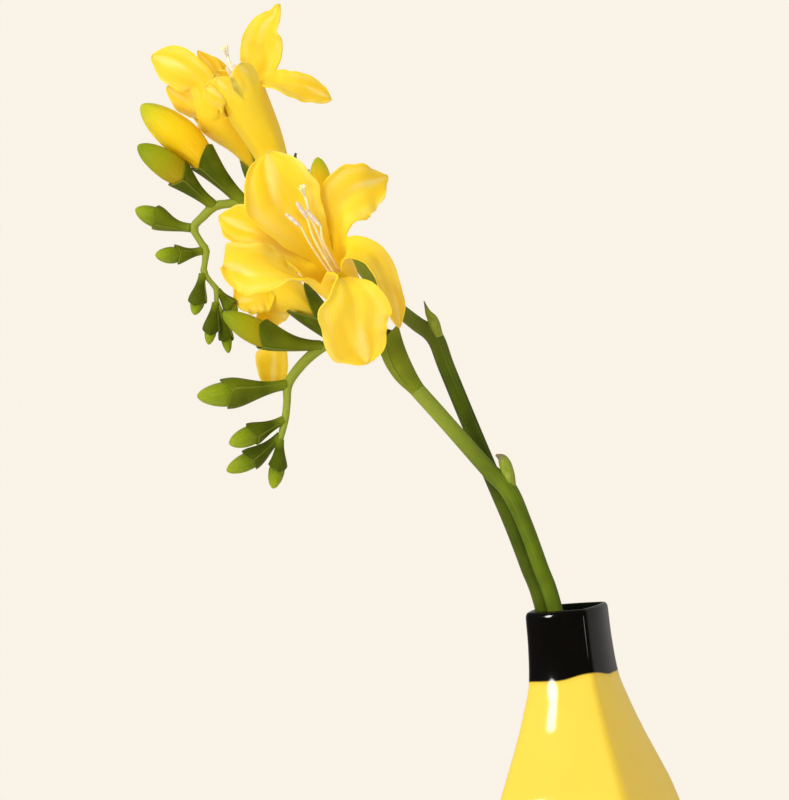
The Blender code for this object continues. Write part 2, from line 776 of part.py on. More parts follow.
def petal_place(tube, bloom, petal, angle, share_half, wave_turn):
    """place(u, row) of one petal with its share of the tube below it."""
    if isinstance(petal, Ring):
        spots, facing = ring_spots(tube, bloom, petal, angle)
    else:
        spots = [spot(place) for place in petal.spots]
        facing = heading(petal.facing)
    rim = tube.point(1.0, angle, bloom.throat * MM)
    below = tube.point(0.85, angle, tube_radius(bloom, 0.85) * MM)
    free = Path([below, rim, *spots])
    start = (rim - below).length / free.length
    along = Tube(free, -tube.outward(1.0, angle), start)
    end_axis = free.tangent(1.0)
    end_face = along.outward(1.0, 0.0)
    wanted = square_to(facing, end_axis)
    twist = math.atan2(end_face.cross(wanted).dot(end_axis), end_face.dot(wanted))
    foot_half = bloom.throat * share_half

    def place(u, row):
        if row <= TUBE_ROWS:
            share = row / TUBE_ROWS
            return tube.point(share, angle + u * share_half, tube_radius(bloom, share) * MM)
        past = (row - TUBE_ROWS) / PETAL_ROWS
        v = past**1.1
        share = blend(start, 1.0, v)
        face = along.outward(share, twist * ease(v * 1.2))
        side = face.cross(free.tangent(share))
        if v < petal.widest:
            claw = foot_half * (1.0 - 0.1 * ease(v / HOLD))
            half = blend(claw, petal.half, ease((v - HOLD) / (petal.widest - HOLD)))
        else:
            outer = (v - petal.widest) / (1.0 - petal.widest)
            half = petal.half * max(1.0 - outer * outer, 0.0) ** petal.point
        half = max(half, 0.14 * petal.half)
        cup = blend(share_half, petal.cup, ease(v * 1.4))
        radius = half / cup * MM
        wave = petal.wave * MM * ease(v * 2.0) * abs(u) ** 1.5
        wave *= math.sin(2 * math.pi * 1.4 * v + wave_turn + (1.9 if u > 0 else 0.0))
        point = free.point(share) + side * radius * math.sin(u * cup)
        return point + face * (radius * (1.0 - math.cos(u * cup)) + wave)

    return place


def make_bloom(bloom, collection, petal_material, bract_material):
    """A flower as one body of tube and six petals, and the bract round the foot of its tube."""
    whole = Path([spot(place) for place in bloom.spots])
    path = whole.after(FLOWER_LIFT)
    tube = Tube(path, heading(bloom.first), 1.0)
    share_half = math.pi / len(bloom.petals)
    bm = bmesh.new()
    for k, petal in enumerate(bloom.petals):
        angle = 2 * share_half * k
        place = petal_place(tube, bloom, petal, angle, share_half, 1.3 * k)
        add_strip(bm, PETAL_COLUMNS, TUBE_ROWS + PETAL_ROWS, place)
    bmesh.ops.remove_doubles(bm, verts=bm.verts, dist=WELD * MM)
    close_foot(bm, path.point(0.0), (bloom.tube + 0.2) * MM)
    bmesh.ops.recalc_face_normals(bm, faces=bm.faces)
    bmesh.ops.triangulate(bm, faces=bm.faces)
    made = object_from(bm, bloom.name, collection, petal_material)
    thicken(made, PETAL)
    shade(made, 70.0)
    sheath = whole.after(FLOWER_LIFT - BRACT - GAP - PETAL / 2)
    bract_tube = Tube(sheath, heading(bloom.first), 1.0)

    def bract_radius(share):
        wide = tube_radius(bloom, share) + PETAL / 2 + GAP + BRACT / 2
        return wide + 2.5 * BRACT_ROOM + 0.2 * share

    split = max(bloom.bract) * 0.55
    return bract_sheet(
        bloom.name + "_bract", bract_tube, bract_radius, split, bloom.bract,
        BLOOM_BRACT_SIDES, collection, bract_material,
    )


def make_stamens(bloom, collection, material):
    """The column up the middle of a flower's tube, three stamens with their anthers, and the forked style."""
    path = Path([spot(place) for place in bloom.spots]).after(FLOWER_LIFT)
    anthers = spot(bloom.anthers)
    rise = (anthers - path.point(1.0)).normalized()
    side = square_to(heading(bloom.first), rise)
    across = rise.cross(side)
    name = bloom.name.replace("bloom", "stamens")
    spread = bloom.spread * MM
    slim = bloom.tube - PETAL / 2 - STAMEN_GAP
    column = [(path.point(0.12), slim), (path.point(0.4), 0.7), (path.point(0.75), 0.6)]
    column += [(path.point(1.0), 0.5), (blend(path.point(1.0), anthers, 0.6), 0.4)]
    column.append((anthers + rise * 2.5 * spread, 0.4))
    made = stem_mesh(name, column, collection, material, spacing=3.2, roundness=0)
    grown = []
    for k in range(3):
        angle = math.radians(50.0 + 120.0 * k)
        out = side * math.cos(angle) + across * math.sin(angle)
        points = [
            (path.point(0.7), 0.35),
            (blend(path.point(1.0), anthers, 0.4) + out * 0.8 * spread, 0.35),
            (anthers + (out * 2.0 - rise * 2.6) * spread, 0.4),
            (anthers + out * 2.4 * spread, 0.7),
            (anthers + (out * 2.6 + rise * 2.4) * spread, 0.35),
        ]
        grown.append(stem_mesh(name + "_stamen", points, collection, material, spacing=2.6, roundness=0))
    for turn in (-1.0, 1.0):
        points = [
            (anthers + rise * 1.6 * spread, 0.35),
            (anthers + (rise * 3.4 + across * turn * 0.8) * spread, 0.35),
            (anthers + (rise * 4.8 + across * turn * 1.8) * spread, 0.3),
        ]
        grown.append(stem_mesh(name + "_style", points, collection, material, spacing=1.7, roundness=0))
    fuse(made, grown)
    shade(made)


def main():
    clear_scene()
    parts = new_collection("freesia_in_vase")
    petals = new_material("petal_yellow", (0.95, 0.68, 0.03), 0.5)
    buds = new_material("bud_green", (0.45, 0.52, 0.05), 0.5)
    leaf = new_material("bract_green", (0.10, 0.16, 0.02), 0.45)
    light = new_material("stem_green", (0.20, 0.30, 0.02), 0.45)
    dark = new_material("stem_dark_green", (0.11, 0.18, 0.02), 0.45)
    cream = new_material("stamen_cream", (0.80, 0.74, 0.52), 0.6)

    make_vase(parts)
    front = [(Vector(p) * MM, 2.05) for p in FRONT_FOOT]
    front += [(spot(place), radius) for place, radius in FRONT_STEM + FRONT_RACHIS]
    rear = [(Vector(p) * MM, 1.7) for p in REAR_FOOT]
    rear += [(spot(place), radius) for place, radius in REAR_STEM + REAR_RACHIS]
    make_water(parts, (("stem_front", front[:6]), ("stem_rear", rear[:6])))

    for name, points, stub, stem_buds, material in (
        ("stem_front", front, FRONT_STUB, FRONT_BUDS, light),
        ("stem_rear", rear, REAR_STUB, REAR_BUDS, dark),
    ):
        stem = stem_mesh(name, points, parts, material, spacing=6.0)
        shoot = stem_mesh(
            name + "_stub", [(spot(place), radius) for place, radius in stub], parts, material, spacing=2.5
        )
        grown = [shoot]
        for bud in stem_buds:
            grown.append(make_bud(bud, parts, buds, leaf))
        for bloom in BLOOMS:
            if bloom.stem == name:
                grown.append(make_bloom(bloom, parts, petals, leaf))
                make_stamens(bloom, parts, cream)
        fuse(stem, grown)
        shade(stem)


main()
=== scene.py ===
# %% [markdown]
# # Cut freesia in a square bottle
#
# Two flowering stems of yellow freesia stand in a small bottle of glazed ceramic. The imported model
# holds every piece at its real size, and this script dresses it. Each cell makes one piece or one
# finish. All lengths are in metres; where a size is easier to read in millimetres, it is multiplied
# by MM.

import math
from collections import namedtuple

import bpy
import numpy as np
from mathutils import Matrix, Vector, noise


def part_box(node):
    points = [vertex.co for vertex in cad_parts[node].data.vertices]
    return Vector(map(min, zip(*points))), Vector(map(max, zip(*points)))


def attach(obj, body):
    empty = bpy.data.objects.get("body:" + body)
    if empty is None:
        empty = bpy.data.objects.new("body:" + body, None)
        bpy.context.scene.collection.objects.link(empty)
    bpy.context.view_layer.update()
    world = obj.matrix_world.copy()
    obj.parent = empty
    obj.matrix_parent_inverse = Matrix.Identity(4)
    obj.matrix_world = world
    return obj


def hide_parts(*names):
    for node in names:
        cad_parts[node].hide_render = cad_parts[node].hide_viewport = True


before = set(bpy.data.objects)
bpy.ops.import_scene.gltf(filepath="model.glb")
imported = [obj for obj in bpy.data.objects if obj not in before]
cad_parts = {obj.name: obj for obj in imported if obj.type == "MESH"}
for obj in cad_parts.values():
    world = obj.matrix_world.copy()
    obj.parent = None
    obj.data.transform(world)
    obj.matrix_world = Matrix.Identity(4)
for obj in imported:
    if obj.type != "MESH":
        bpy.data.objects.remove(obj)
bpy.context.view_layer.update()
MM = 0.001
print("nodes in the frame:", len(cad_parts))

# %% [markdown]
# ## Where things stand
#
# The plant leans and turns, so its pieces are placed on a leaning plane through the middle of the
# bottle's mouth. A spot on it is three numbers in millimetres: how far across to the right, how far
# up the plane, and how far in front of it. The plane also faces the camera, so a spot's first two
# numbers are its place in the picture.

# %% The leaning plane
PLANE_TURN = math.radians(23.0)
PLANE_RISE = math.radians(4.0)
PLANE_LEAN = math.radians(6.0)


def layout_axes():
    """The leaning plane's directions: across to the right, up the plane, and out of its front."""
    turn, rise, lean = PLANE_TURN, PLANE_RISE, PLANE_LEAN
    sin_turn, cos_turn = math.sin(turn), math.cos(turn)
    sin_rise, cos_rise = math.sin(rise), math.cos(rise)
    level = Vector((cos_turn, sin_turn, 0.0))
    steep = Vector((-sin_turn * sin_rise, cos_turn * sin_rise, cos_rise))
    front = Vector((sin_turn * cos_rise, -cos_turn * cos_rise, sin_rise))
    across = level * math.cos(lean) - steep * math.sin(lean)
    up = level * math.sin(lean) + steep * math.cos(lean)
    return across, up, front


ACROSS, UP, FRONT = layout_axes()
MOUTH = Vector((0.0, 0.0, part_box("vase")[1].z))


def heading(parts):
    """A direction on the leaning plane."""
    return (ACROSS * parts[0] + UP * parts[1] + FRONT * parts[2]).normalized()


def spot(place):
    """A point in metres, from its millimetres on the leaning plane."""
    across, up, front = place
    return MOUTH + (ACROSS * across + UP * up + FRONT * front) * MM


print("the bottle's mouth stands at", [round(c, 3) for c in MOUTH])

# %% [markdown]
# ## Camera
#
# The camera looks straight at the leaning plane from two metres away, which keeps the picture
# nearly without perspective. The lens follows from how much of the plane one pixel of the picture
# covers.

# %% Place the camera
PICTURE = (789, 800)
PIXEL = 0.26 * MM
MOUTH_PIXEL = (566.3, 607.0)
CAMERA_DISTANCE = 2.0
SENSOR = 36.0

aside = (PICTURE[0] / 2 - MOUTH_PIXEL[0]) * PIXEL
above = (MOUTH_PIXEL[1] - PICTURE[1] / 2) * PIXEL
view_middle = MOUTH + ACROSS * aside + UP * above
bpy.ops.object.camera_add()
camera = bpy.context.object
camera.matrix_world = Matrix.Translation(view_middle + FRONT * CAMERA_DISTANCE) @ Matrix(
    (ACROSS, UP, FRONT)
).transposed().to_4x4()
camera.data.sensor_fit = "HORIZONTAL"
camera.data.sensor_width = SENSOR
camera.data.lens = SENSOR * CAMERA_DISTANCE / (PICTURE[0] * PIXEL)
bpy.context.scene.camera = camera
print("lens in millimetres:", round(camera.data.lens, 1))

# %% [markdown]
# ## Writing finishes as sums
#
# A material in Blender is a tree of nodes, and a long tree is hard to read in a script. Here a
# small class holds one socket, so that plain arithmetic on it adds the Math nodes, and a second
# class holds the material and adds any other node with one method.

# %% The finish kit


class Reading:
    """One output of a material's nodes. Arithmetic on it adds Math nodes."""

    def __init__(self, finish, socket):
        self.finish = finish
        self.socket = socket

    def maths(self, operation, first, second=0.0):
        return self.finish.node("ShaderNodeMath", {"operation": operation}, {0: first, 1: second})

    def __add__(self, other):
        return self.maths("ADD", self, other)

    __radd__ = __add__

    def __mul__(self, other):
        return self.maths("MULTIPLY", self, other)

    __rmul__ = __mul__

    def __sub__(self, other):
        return self.maths("SUBTRACT", self, other)

    def __rsub__(self, other):
        return self.maths("SUBTRACT", other, self)

    def __abs__(self):
        return self.maths("ABSOLUTE", self)

    def over(self, low, high):
        """0 at low, 1 at high and a smooth step between them. Low may be the greater one."""
        return self.finish.node(
            "ShaderNodeMapRange",
            {"interpolation_type": "SMOOTHSTEP"},
            {"Value": self, "From Min": low, "From Max": high},
        )


class Finish:
    """A material on a Principled shader. What is even all over is set on its own sockets."""

    def __init__(self, name, **constants):
        self.material = bpy.data.materials.new(name)
        self.material.use_nodes = True
        self.tree = self.material.node_tree
        self.shader = self.tree.nodes["Principled BSDF"]
        for socket, value in constants.items():
            self.shader.inputs[socket.replace("_", " ")].default_value = value

    def node(self, kind, settings=None, sockets=None, output=0):
        made = self.tree.nodes.new(kind)
        for setting, value in (settings or {}).items():
            setattr(made, setting, value)
        for socket, value in (sockets or {}).items():
            if isinstance(value, Reading):
                self.tree.links.new(value.socket, made.inputs[socket])
            else:
                made.inputs[socket].default_value = value
        return Reading(self, made.outputs[output])

    def place(self):
        """The place on the object, in metres."""
        return self.node("ShaderNodeTexCoord", output="Object")

    def sheet(self, stretch=(1.0, 1.0, 1.0)):
        """The place on the piece's own sheet, stretched: across it, and from foot to tip."""
        where = self.node("ShaderNodeTexCoord", output="UV")
        return self.node("ShaderNodeMapping", {}, {"Vector": where, "Scale": stretch})

    def split(self, vector):
        """The three numbers of a vector, each as a reading of its own."""
        return [self.node("ShaderNodeSeparateXYZ", {}, {0: vector}, k) for k in (0, 1, 2)]

    def grain(self, vector, scale, detail=3.0, roughness=0.5):
        sockets = {"Vector": vector, "Scale": scale, "Detail": detail, "Roughness": roughness}
        return self.node("ShaderNodeTexNoise", {}, sockets)

    def mix(self, share, first, second):
        """From the first colour to the second as the share goes from 0 to 1."""
        colours = [c if isinstance(c, Reading) else (*c, 1.0) for c in (first, second)]
        sockets = {0: share, 6: colours[0], 7: colours[1]}
        return self.node("ShaderNodeMix", {"data_type": "RGBA"}, sockets, output=2)

    def feed(self, **links):
        for socket, value in links.items():
            self.tree.links.new(value.socket, self.shader.inputs[socket.replace("_", " ")])

    def relief(self, height, depth, strength):
        """Small ups and downs of the surface, as a bump of that depth in metres."""
        sockets = {"Strength": strength, "Distance": depth, "Height": height}
        self.feed(Normal=self.node("ShaderNodeBump", {}, sockets))


print("finish kit ready")

# %% [markdown]
# ## Studio
#
# The real photograph was taken in front of a pale cream backdrop. The world gives the backdrop's
# colour to the camera and a soft glow, stronger from behind, to the pieces. A soft box and a window
# light them from the left, a narrow strip is what the glaze mirrors as its white streak, and a
# small edge box draws the line of light on the bottle's corner. The floor is a large disc that
# fades out at its edge, so no horizon shows.

# %% Backdrop glow
BACKDROP = (0.955, 0.893, 0.797)
GLOW_COLOUR = (1.0, 0.965, 0.91)
# the glow's strength from the front and from behind, on the pieces and in what they mirror
GLOW = (0.52, 1.25)
MIRRORED = (0.02, 0.42)
GLOW_FADE = (-0.6, 0.9)


def light_the_world():
    """The backdrop for the camera, and the glow for everything else."""
    world = bpy.data.worlds.new("studio")
    world.use_nodes = True
    bpy.context.scene.world = world
    nodes, links = world.node_tree.nodes, world.node_tree.links
    seen = nodes["Background"]
    seen.inputs["Color"].default_value = (*BACKDROP, 1.0)
    glow = nodes.new("ShaderNodeBackground")
    glow.inputs["Color"].default_value = (*GLOW_COLOUR, 1.0)
    direction = nodes.new("ShaderNodeTexCoord")
    behind = nodes.new("ShaderNodeVectorMath")
    behind.operation = "DOT_PRODUCT"
    behind.inputs[1].default_value = -FRONT
    links.new(direction.outputs["Generated"], behind.inputs[0])
    ray = nodes.new("ShaderNodeLightPath")
    strength = nodes.new("ShaderNodeMix")
    links.new(ray.outputs["Is Glossy Ray"], strength.inputs[0])
    for socket, (front, back) in ((2, GLOW), (3, MIRRORED)):
        fade = nodes.new("ShaderNodeMapRange")
        fade.inputs["From Min"].default_value, fade.inputs["From Max"].default_value = GLOW_FADE
        fade.inputs["To Min"].default_value = front
        fade.inputs["To Max"].default_value = back
        links.new(behind.outputs["Value"], fade.inputs["Value"])
        links.new(fade.outputs["Result"], strength.inputs[socket])
    links.new(strength.outputs[0], glow.inputs["Strength"])
    both = nodes.new("ShaderNodeMixShader")
    links.new(ray.outputs["Is Camera Ray"], both.inputs[0])
    links.new(glow.outputs[0], both.inputs[1])
    links.new(seen.outputs[0], both.inputs[2])
    links.new(both.outputs[0], nodes["World Output"].inputs["Surface"])


light_the_world()
bpy.context.scene.view_settings.view_transform = "Standard"
print("glow from the front and from behind:", GLOW)

# %% Studio lights
LAMP_AIM = 25.0
Lamp = namedtuple("Lamp", "name direction distance size power colour lights mirrored")
LAMPS = (
    Lamp(
        "soft_box",
        direction=heading((-0.45, 0.62, 0.64)),
        distance=1.3, size=(0.7, 0.7), power=6.1, colour=(1.0, 0.96, 0.90), lights=True,
        mirrored=False,
    ),
    Lamp(
        "strip_box",
        direction=Vector((-0.43, -0.83, 0.222)),
        distance=1.2, size=(0.13, 0.36), power=2.4, colour=(1.0, 1.0, 1.0), lights=True,
        mirrored=True,
    ),
    Lamp(
        "edge_box",
        direction=Vector((0.60, -0.797, -0.06)),
        distance=0.5, size=(0.10, 0.12), power=0.10, colour=(1.0, 1.0, 1.0), lights=False,
        mirrored=True,
    ),
    Lamp(
        "window",
        direction=heading((-0.40, -0.05, 0.92)),
        distance=1.5, size=(0.45, 0.30), power=5.1, colour=(1.0, 0.97, 0.92), lights=True,
        mirrored=False,
    ),
)


def light_up(lamp):
    """Puts a lamp out along its direction from below the mouth, and turns it to look back."""
    bpy.ops.object.light_add(type="AREA")
    light = bpy.context.object
    light.name = lamp.name
    light.data.shape = "ELLIPSE"
    light.data.size, light.data.size_y = lamp.size
    light.data.energy = lamp.power
    light.data.color = lamp.colour
    direction = lamp.direction.normalized()
    light.location = MOUTH - UP * LAMP_AIM * MM + direction * lamp.distance
    light.rotation_euler = direction.to_track_quat("Z", "Y").to_euler()
    light.visible_glossy = lamp.mirrored
    light.visible_diffuse = lamp.lights
    print(lamp.name, lamp.power, "W")


for lamp in LAMPS:
    light_up(lamp)

# %% Floor
FLOOR_RADIUS = 0.6
FLOOR_SIDES = 96
FLOOR_FADE = (0.3, 0.95)


def make_floor():
    """The disc that catches the shadows and fades out at its edge."""
    bpy.ops.mesh.primitive_circle_add(
        vertices=FLOOR_SIDES, radius=FLOOR_RADIUS, fill_type="TRIFAN"
    )
    floor = bpy.context.object
    floor.name = "floor"
    paint = Finish("floor_paper", Base_Color=(*BACKDROP, 1.0), Roughness=0.9)
    far = paint.node("ShaderNodeVectorMath", {"operation": "LENGTH"}, {0: paint.place()}, "Value")
    near, edge = FLOOR_FADE
    paint.feed(Alpha=1.0 - far.over(near * FLOOR_RADIUS, edge * FLOOR_RADIUS))
    floor.data.materials.append(paint.material)


make_floor()
print("floor radius", FLOOR_RADIUS)

# %% [markdown]
# ## Bottle
#
# The bottle is a square tower of ceramic with rounded corners, wide at its foot and narrow at its
# neck. By hand it is drawn from its foot up: a plane gets its corners bevelled, its four sides are
# cut and bowed out a little, and then the face is extruded and scaled, ring by ring, up the
# outside, over the lip and down the inside. A round section would need a Screw modifier instead,
# but a square one can't be turned.

# %% Small helpers for modelling


def pick_nothing():
    """Goes to object mode with nothing selected."""
    if bpy.context.mode != "OBJECT":
        bpy.ops.object.mode_set(mode="OBJECT")
    bpy.ops.object.select_all(action="DESELECT")


def work_on(piece):
    """Selects one piece alone, for the next operator."""
    pick_nothing()
    bpy.context.view_layer.objects.active = piece
    piece.select_set(True)


def smooth(piece, degrees):
    """Shades a piece smooth, apart from edges sharper than the angle."""
    work_on(piece)
    bpy.ops.object.shade_smooth_by_angle(angle=math.radians(degrees))


def dress(piece, finish, slot, *nodes):
    """Gives a piece its material and body and hides the nodes it stands for. The slot is not used.
    """
    piece.data.materials.clear()
    piece.data.materials.append(finish.material)
    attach(piece, "root")
    if nodes:
        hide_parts(*nodes)
    print(piece.name, len(piece.data.polygons), "faces")


# %% Bottle sizes
# height and half side of the bottle's outside, from the base up, and how much rounder a ring gets
VASE_OUTSIDE = (
    (0.0, 25.4, 0.0),
    (1.2, 26.2, 0.0),
    (8.0, 27.4, 0.0),
    (18.0, 28.0, 0.0),
    (30.0, 27.9, 0.0),
    (45.0, 26.4, 0.0),
    (62.0, 22.8, 0.0),
    (73.0, 20.1, 0.0),
    (81.5, 18.0, 0.01),
    (89.4, 15.5, 0.02),
    (97.0, 13.1, 0.03),
    (103.0, 11.4, 0.04),
    (110.5, 9.6, 0.05),
    (120.0, 8.9, 0.04),
    (128.3, 8.75, 0.02),
)
CORNER = 3.9
CORNER_SEGMENTS = 8
SIDE_CUTS = 7
SIDE_BOW = 0.7
LIP = (0.75, 1.7)
MOUTH_WALL = 1.5
BODY_WALL = 2.3
VASE_FLOOR = 4.0
# extra rings between two rows that are further apart than this, and steps over the lip
RING_STEPS = 4
RING_GAP = 3.0
LIP_STEPS = 12
# inside, the rings start this far below the outer lip and end this far above the floor
LIP_CLEAR = 2.0
FLOOR_CLEAR = 3.0
NECK_FROM = 115.0
FLOOR_EDGE = 0.6
FLOOR_SHRINK = (0.97, 0.93)
print("bottle outside:", len(VASE_OUTSIDE), "rows, corners of", CORNER, "mm")


def curve_between(four, t):
    """The value at t between the second and third of four, on the smooth curve through all."""
    a, b, c, d = four
    bend = a * -1 + b * 3 - c * 3 + d
    swing = a * 2 - b * 5 + c * 4 - d
    return b + (c - a) * (0.5 * t) + swing * (0.5 * t * t) + bend * (0.5 * t * t * t)


def bottle_rings():
    """Height, half side and rounding of each ring on the outside, in millimetres."""
    rows = [Vector(row) for row in VASE_OUTSIDE]
    rings = []
    for k in range(len(rows) - 1):
        four = (rows[max(k - 1, 0)], rows[k], rows[k + 1], rows[min(k + 2, len(rows) - 1)])
        count = RING_STEPS if rows[k + 1].x - rows[k].x > RING_GAP else 1
        for step in range(count):
            ring = curve_between(four, step / count)
            height = rows[k].x + (rows[k + 1].x - rows[k].x) * step / count
            rings.append((height, ring.y, rows[k + 1].z / count))
    rings.append(tuple(rows[-1]))
    return rings


def next_ring(rise, shrink, height, rounder=0.0):
    """Extrudes the picked face up and scales its new ring about the bottle's axis."""
    middle = (0.0, 0.0, height * MM)
    bpy.ops.mesh.extrude_region_move(TRANSFORM_OT_translate={"value": (0.0, 0.0, rise * MM)})
    bpy.ops.transform.resize(value=(shrink, shrink, 1.0), center_override=middle)
    if rounder:
        bpy.ops.transform.tosphere(value=rounder, center_override=middle)


# %% Model the bottle


def make_bottle():
    """Extrudes the bottle ring by ring, as the lesson says."""
    pick_nothing()
    rings = bottle_rings()
    half = rings[0][1]
    bpy.ops.mesh.primitive_plane_add(size=2 * half * MM)
    bottle = bpy.context.object
    bottle.name = "bottle"
    bpy.ops.object.mode_set(mode="EDIT")
    bpy.ops.mesh.bevel(offset=CORNER * MM, segments=CORNER_SEGMENTS, affect="VERTICES")
    bpy.ops.mesh.select_all(action="DESELECT")
    bpy.ops.object.mode_set(mode="OBJECT")
    for edge in bottle.data.edges:
        ends = [bottle.data.vertices[v].co for v in edge.vertices]
        edge.select = (ends[0] - ends[1]).length > half * MM
    bpy.ops.object.mode_set(mode="EDIT")
    bpy.ops.mesh.select_mode(type="EDGE")
    bpy.ops.mesh.subdivide(number_cuts=SIDE_CUTS)
    bpy.ops.object.mode_set(mode="OBJECT")
    for vertex in bottle.data.vertices:
        x, y = vertex.co.x / MM, vertex.co.y / MM
        reach = min(abs(x), abs(y)) / (half - CORNER)
        swell = 1.0 + SIDE_BOW / half * max(1.0 - reach * reach, 0.0)
        vertex.co = Vector((x * swell, y * swell, 0.0)) * MM
    bpy.ops.object.mode_set(mode="EDIT")
    bpy.ops.mesh.select_mode(type="FACE")
    bpy.ops.mesh.select_all(action="SELECT")
    for low, high in zip(rings, rings[1:]):
        next_ring(high[0] - low[0], high[1] / low[1], high[0], high[2])
    height, half = rings[-1][0], rings[-1][1]
    turns = [math.pi * step / LIP_STEPS for step in range(1, LIP_STEPS + 1)]
    over = [(math.sin(turn) * LIP[1], (1.0 - math.cos(turn)) * LIP[0]) for turn in turns]
    last = (0.0, 0.0)
    for rise, inset in over:
        next_ring(rise - last[0], (half - inset) / (half - last[1]), height + rise)
        last = (rise, inset)
    inside = half - last[1]
    lowest, highest = VASE_FLOOR + FLOOR_CLEAR, height - LIP_CLEAR
    for outer in reversed([ring for ring in rings if lowest < ring[0] < highest]):
        wall = MOUTH_WALL if outer[0] > NECK_FROM else BODY_WALL
        next_ring(outer[0] - height, (outer[1] - wall) / inside, outer[0])
        height, inside = outer[0], outer[1] - wall
    next_ring(VASE_FLOOR + FLOOR_EDGE - height, FLOOR_SHRINK[0], VASE_FLOOR + FLOOR_EDGE)
    next_ring(-FLOOR_EDGE, FLOOR_SHRINK[1], VASE_FLOOR)
    bpy.ops.mesh.select_all(action="SELECT")
    bpy.ops.mesh.normals_make_consistent(inside=False)
    bpy.ops.object.mode_set(mode="OBJECT")
    smooth(bottle, 40.0)
    return bottle


bottle = make_bottle()
print("bottle height", round(max(v.co.z for v in bottle.data.vertices) / MM, 2), "mm")

# %% [markdown]
# ## Glaze
#
# The bottle was dipped twice: its body in warm yellow and its neck in black, and the two meet in a
# soft wavy line that climbs a little on one side. Glaze is glass, so it is smooth all over. A deeper
# tint is painted along the four ridges as shade, and a bump too shallow to see in itself breaks up
# its reflections.

# %% Glaze
NECK_LINE = 111.9 * MM
GLAZE_YELLOW = (0.90, 0.655, 0.085)
GLAZE_DEEP = (0.80, 0.52, 0.04)
# a deeper yellow, painted along the four ridges as shade
GLAZE_RIDGE_SHADE = (0.76, 0.56, 0.05)
GLAZE_BLACK = (0.003, 0.0025, 0.002)
# where the painted ridge shade starts and ends beside a corner, in millimetres
RIDGE_SHADE_REACH = (2.6, 0.2)
# the line between the glazes: where and how far it climbs, how it waves, its edge and its shade
CLIMB_REACH = (0.009, 0.018)
CLIMB = 0.0015
LINE_WAVE = 0.0010
LINE_EDGE = 0.0003
LINE_SHADE = (0.0014, 0.0002)


def make_glaze():
    """Yellow body, black neck, and the wavy line between them."""
    glaze = Finish("glazed_ceramic", Roughness=0.07, IOR=1.5)
    place = glaze.place()
    x, y, z = glaze.split(place)
    from_corner = abs(abs(x) - abs(y)) * 1000.0
    # painted shade: a deeper tint beside each of the four corners
    ridge_shade = from_corner.over(*RIDGE_SHADE_REACH)
    climb = (x - y).over(*CLIMB_REACH) * CLIMB
    line = NECK_LINE + climb + (glaze.grain(place, 60.0, 2.0) - 0.5) * LINE_WAVE
    neck = (z - line).over(-LINE_EDGE, LINE_EDGE)
    rim_of_line = abs(z - line).over(*LINE_SHADE)
    clouds = glaze.grain(place, 28.0, 3.0).over(0.25, 0.8)
    body = glaze.mix(clouds * 0.35, GLAZE_YELLOW, GLAZE_DEEP)
    body = glaze.mix(ridge_shade * 0.5, body, GLAZE_RIDGE_SHADE)
    body = glaze.mix(rim_of_line * 0.45, body, GLAZE_DEEP)
    glaze.feed(Base_Color=glaze.mix(neck, body, GLAZE_BLACK))
    skin = glaze.grain(place, 240.0, 2.0) + glaze.grain(place, 55.0, 2.0) * 2.0
    glaze.relief(skin, 0.00005, 0.12)
    return glaze


dress(bottle, make_glaze(), "glazed_ceramic_yellow", "vase")

# %% [markdown]
# ## Water
#
# The stems stand in clear water, which the glaze hides from outside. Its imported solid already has
# the right shape, so it stays and only gets a finish: tinted glass with a faint ripple.

# %% Water
WATER_TINTS = ((0.82, 0.90, 0.88), (0.90, 0.95, 0.93))


def make_water():
    """Clear water, tinted a little."""
    water = Finish("water_clear", Roughness=0.03, IOR=1.33, Transmission_Weight=0.9)
    place = water.place()
    tint = water.grain(place, 30.0, 2.0)
    water.feed(Base_Color=water.mix(tint, *WATER_TINTS))
    water.relief(water.grain(place, 120.0, 2.0), 0.0002, 0.3)
    return water


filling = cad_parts["water"]
filling.data.materials.clear()
filling.data.materials.append(make_water().material)

# %% [markdown]
# ## Smooth paths
#
# Stems, buds and petals all follow bent lines. A path is one smooth curve through a few chosen
# spots, and it also carries a number, such as a radius or a width, from spot to spot. A tube is the
# space round a path: it carries a sideways direction along without letting it spin, so that a sheet
# wrapped on it doesn't wring.

# %% Paths and tubes


def ease(amount):
    """Runs smoothly from 0 to 1 as the amount does."""
    amount = min(max(amount, 0.0), 1.0)
    return amount * amount * (3.0 - 2.0 * amount)


def between(start, end, amount):
    """The value that far on the way from start to end."""
    return start + (end - start) * amount


def square_to(direction, axis):
    """The direction with what runs along the axis taken out."""
    return (direction - axis * direction.dot(axis)).normalized()


class Path:
    """One smooth curve through some points, read by the share of its length."""

    STEPS = 24
    REACH = 0.02

    def __init__(self, points, values=None):
        points = [Vector(p) for p in points]
        ends = [points[0] * 2 - points[1], *points, points[-1] * 2 - points[-2]]
        values = list(values or [0.0] * len(points))
        levels = [values[0], *values, values[-1]]
        fine = []
        for i in range(1, len(ends) - 2):
            for step in range(self.STEPS):
                t = step / self.STEPS
                place = curve_between(ends[i - 1 : i + 3], t)
                level = curve_between(levels[i - 1 : i + 3], t)
                fine.append((*place, level))
        fine.append((*points[-1], values[-1]))
        self.fine = np.array(fine)
        steps = np.linalg.norm(np.diff(self.fine[:, :3], axis=0), axis=1)
        self.reach = np.concatenate([[0.0], np.cumsum(steps)])
        self.length = float(self.reach[-1])

    def after(self, start):
        """The same curve without its first millimetres."""
        first = start * MM / self.length
        return Path([self.point(between(first, 1.0, k / 8)) for k in range(9)])

    def read(self, share):
        reach = min(max(share, 0.0), 1.0) * self.length
        return [float(np.interp(reach, self.reach, self.fine[:, k])) for k in range(4)]

    def point(self, share):
        return Vector(self.read(share)[:3])

    def value(self, share):
        return self.read(share)[3]

    def tangent(self, share):
        low = max(share - self.REACH, 0.0)
        high = min(share + self.REACH, 1.0)
        return (self.point(high) - self.point(low)).normalized()


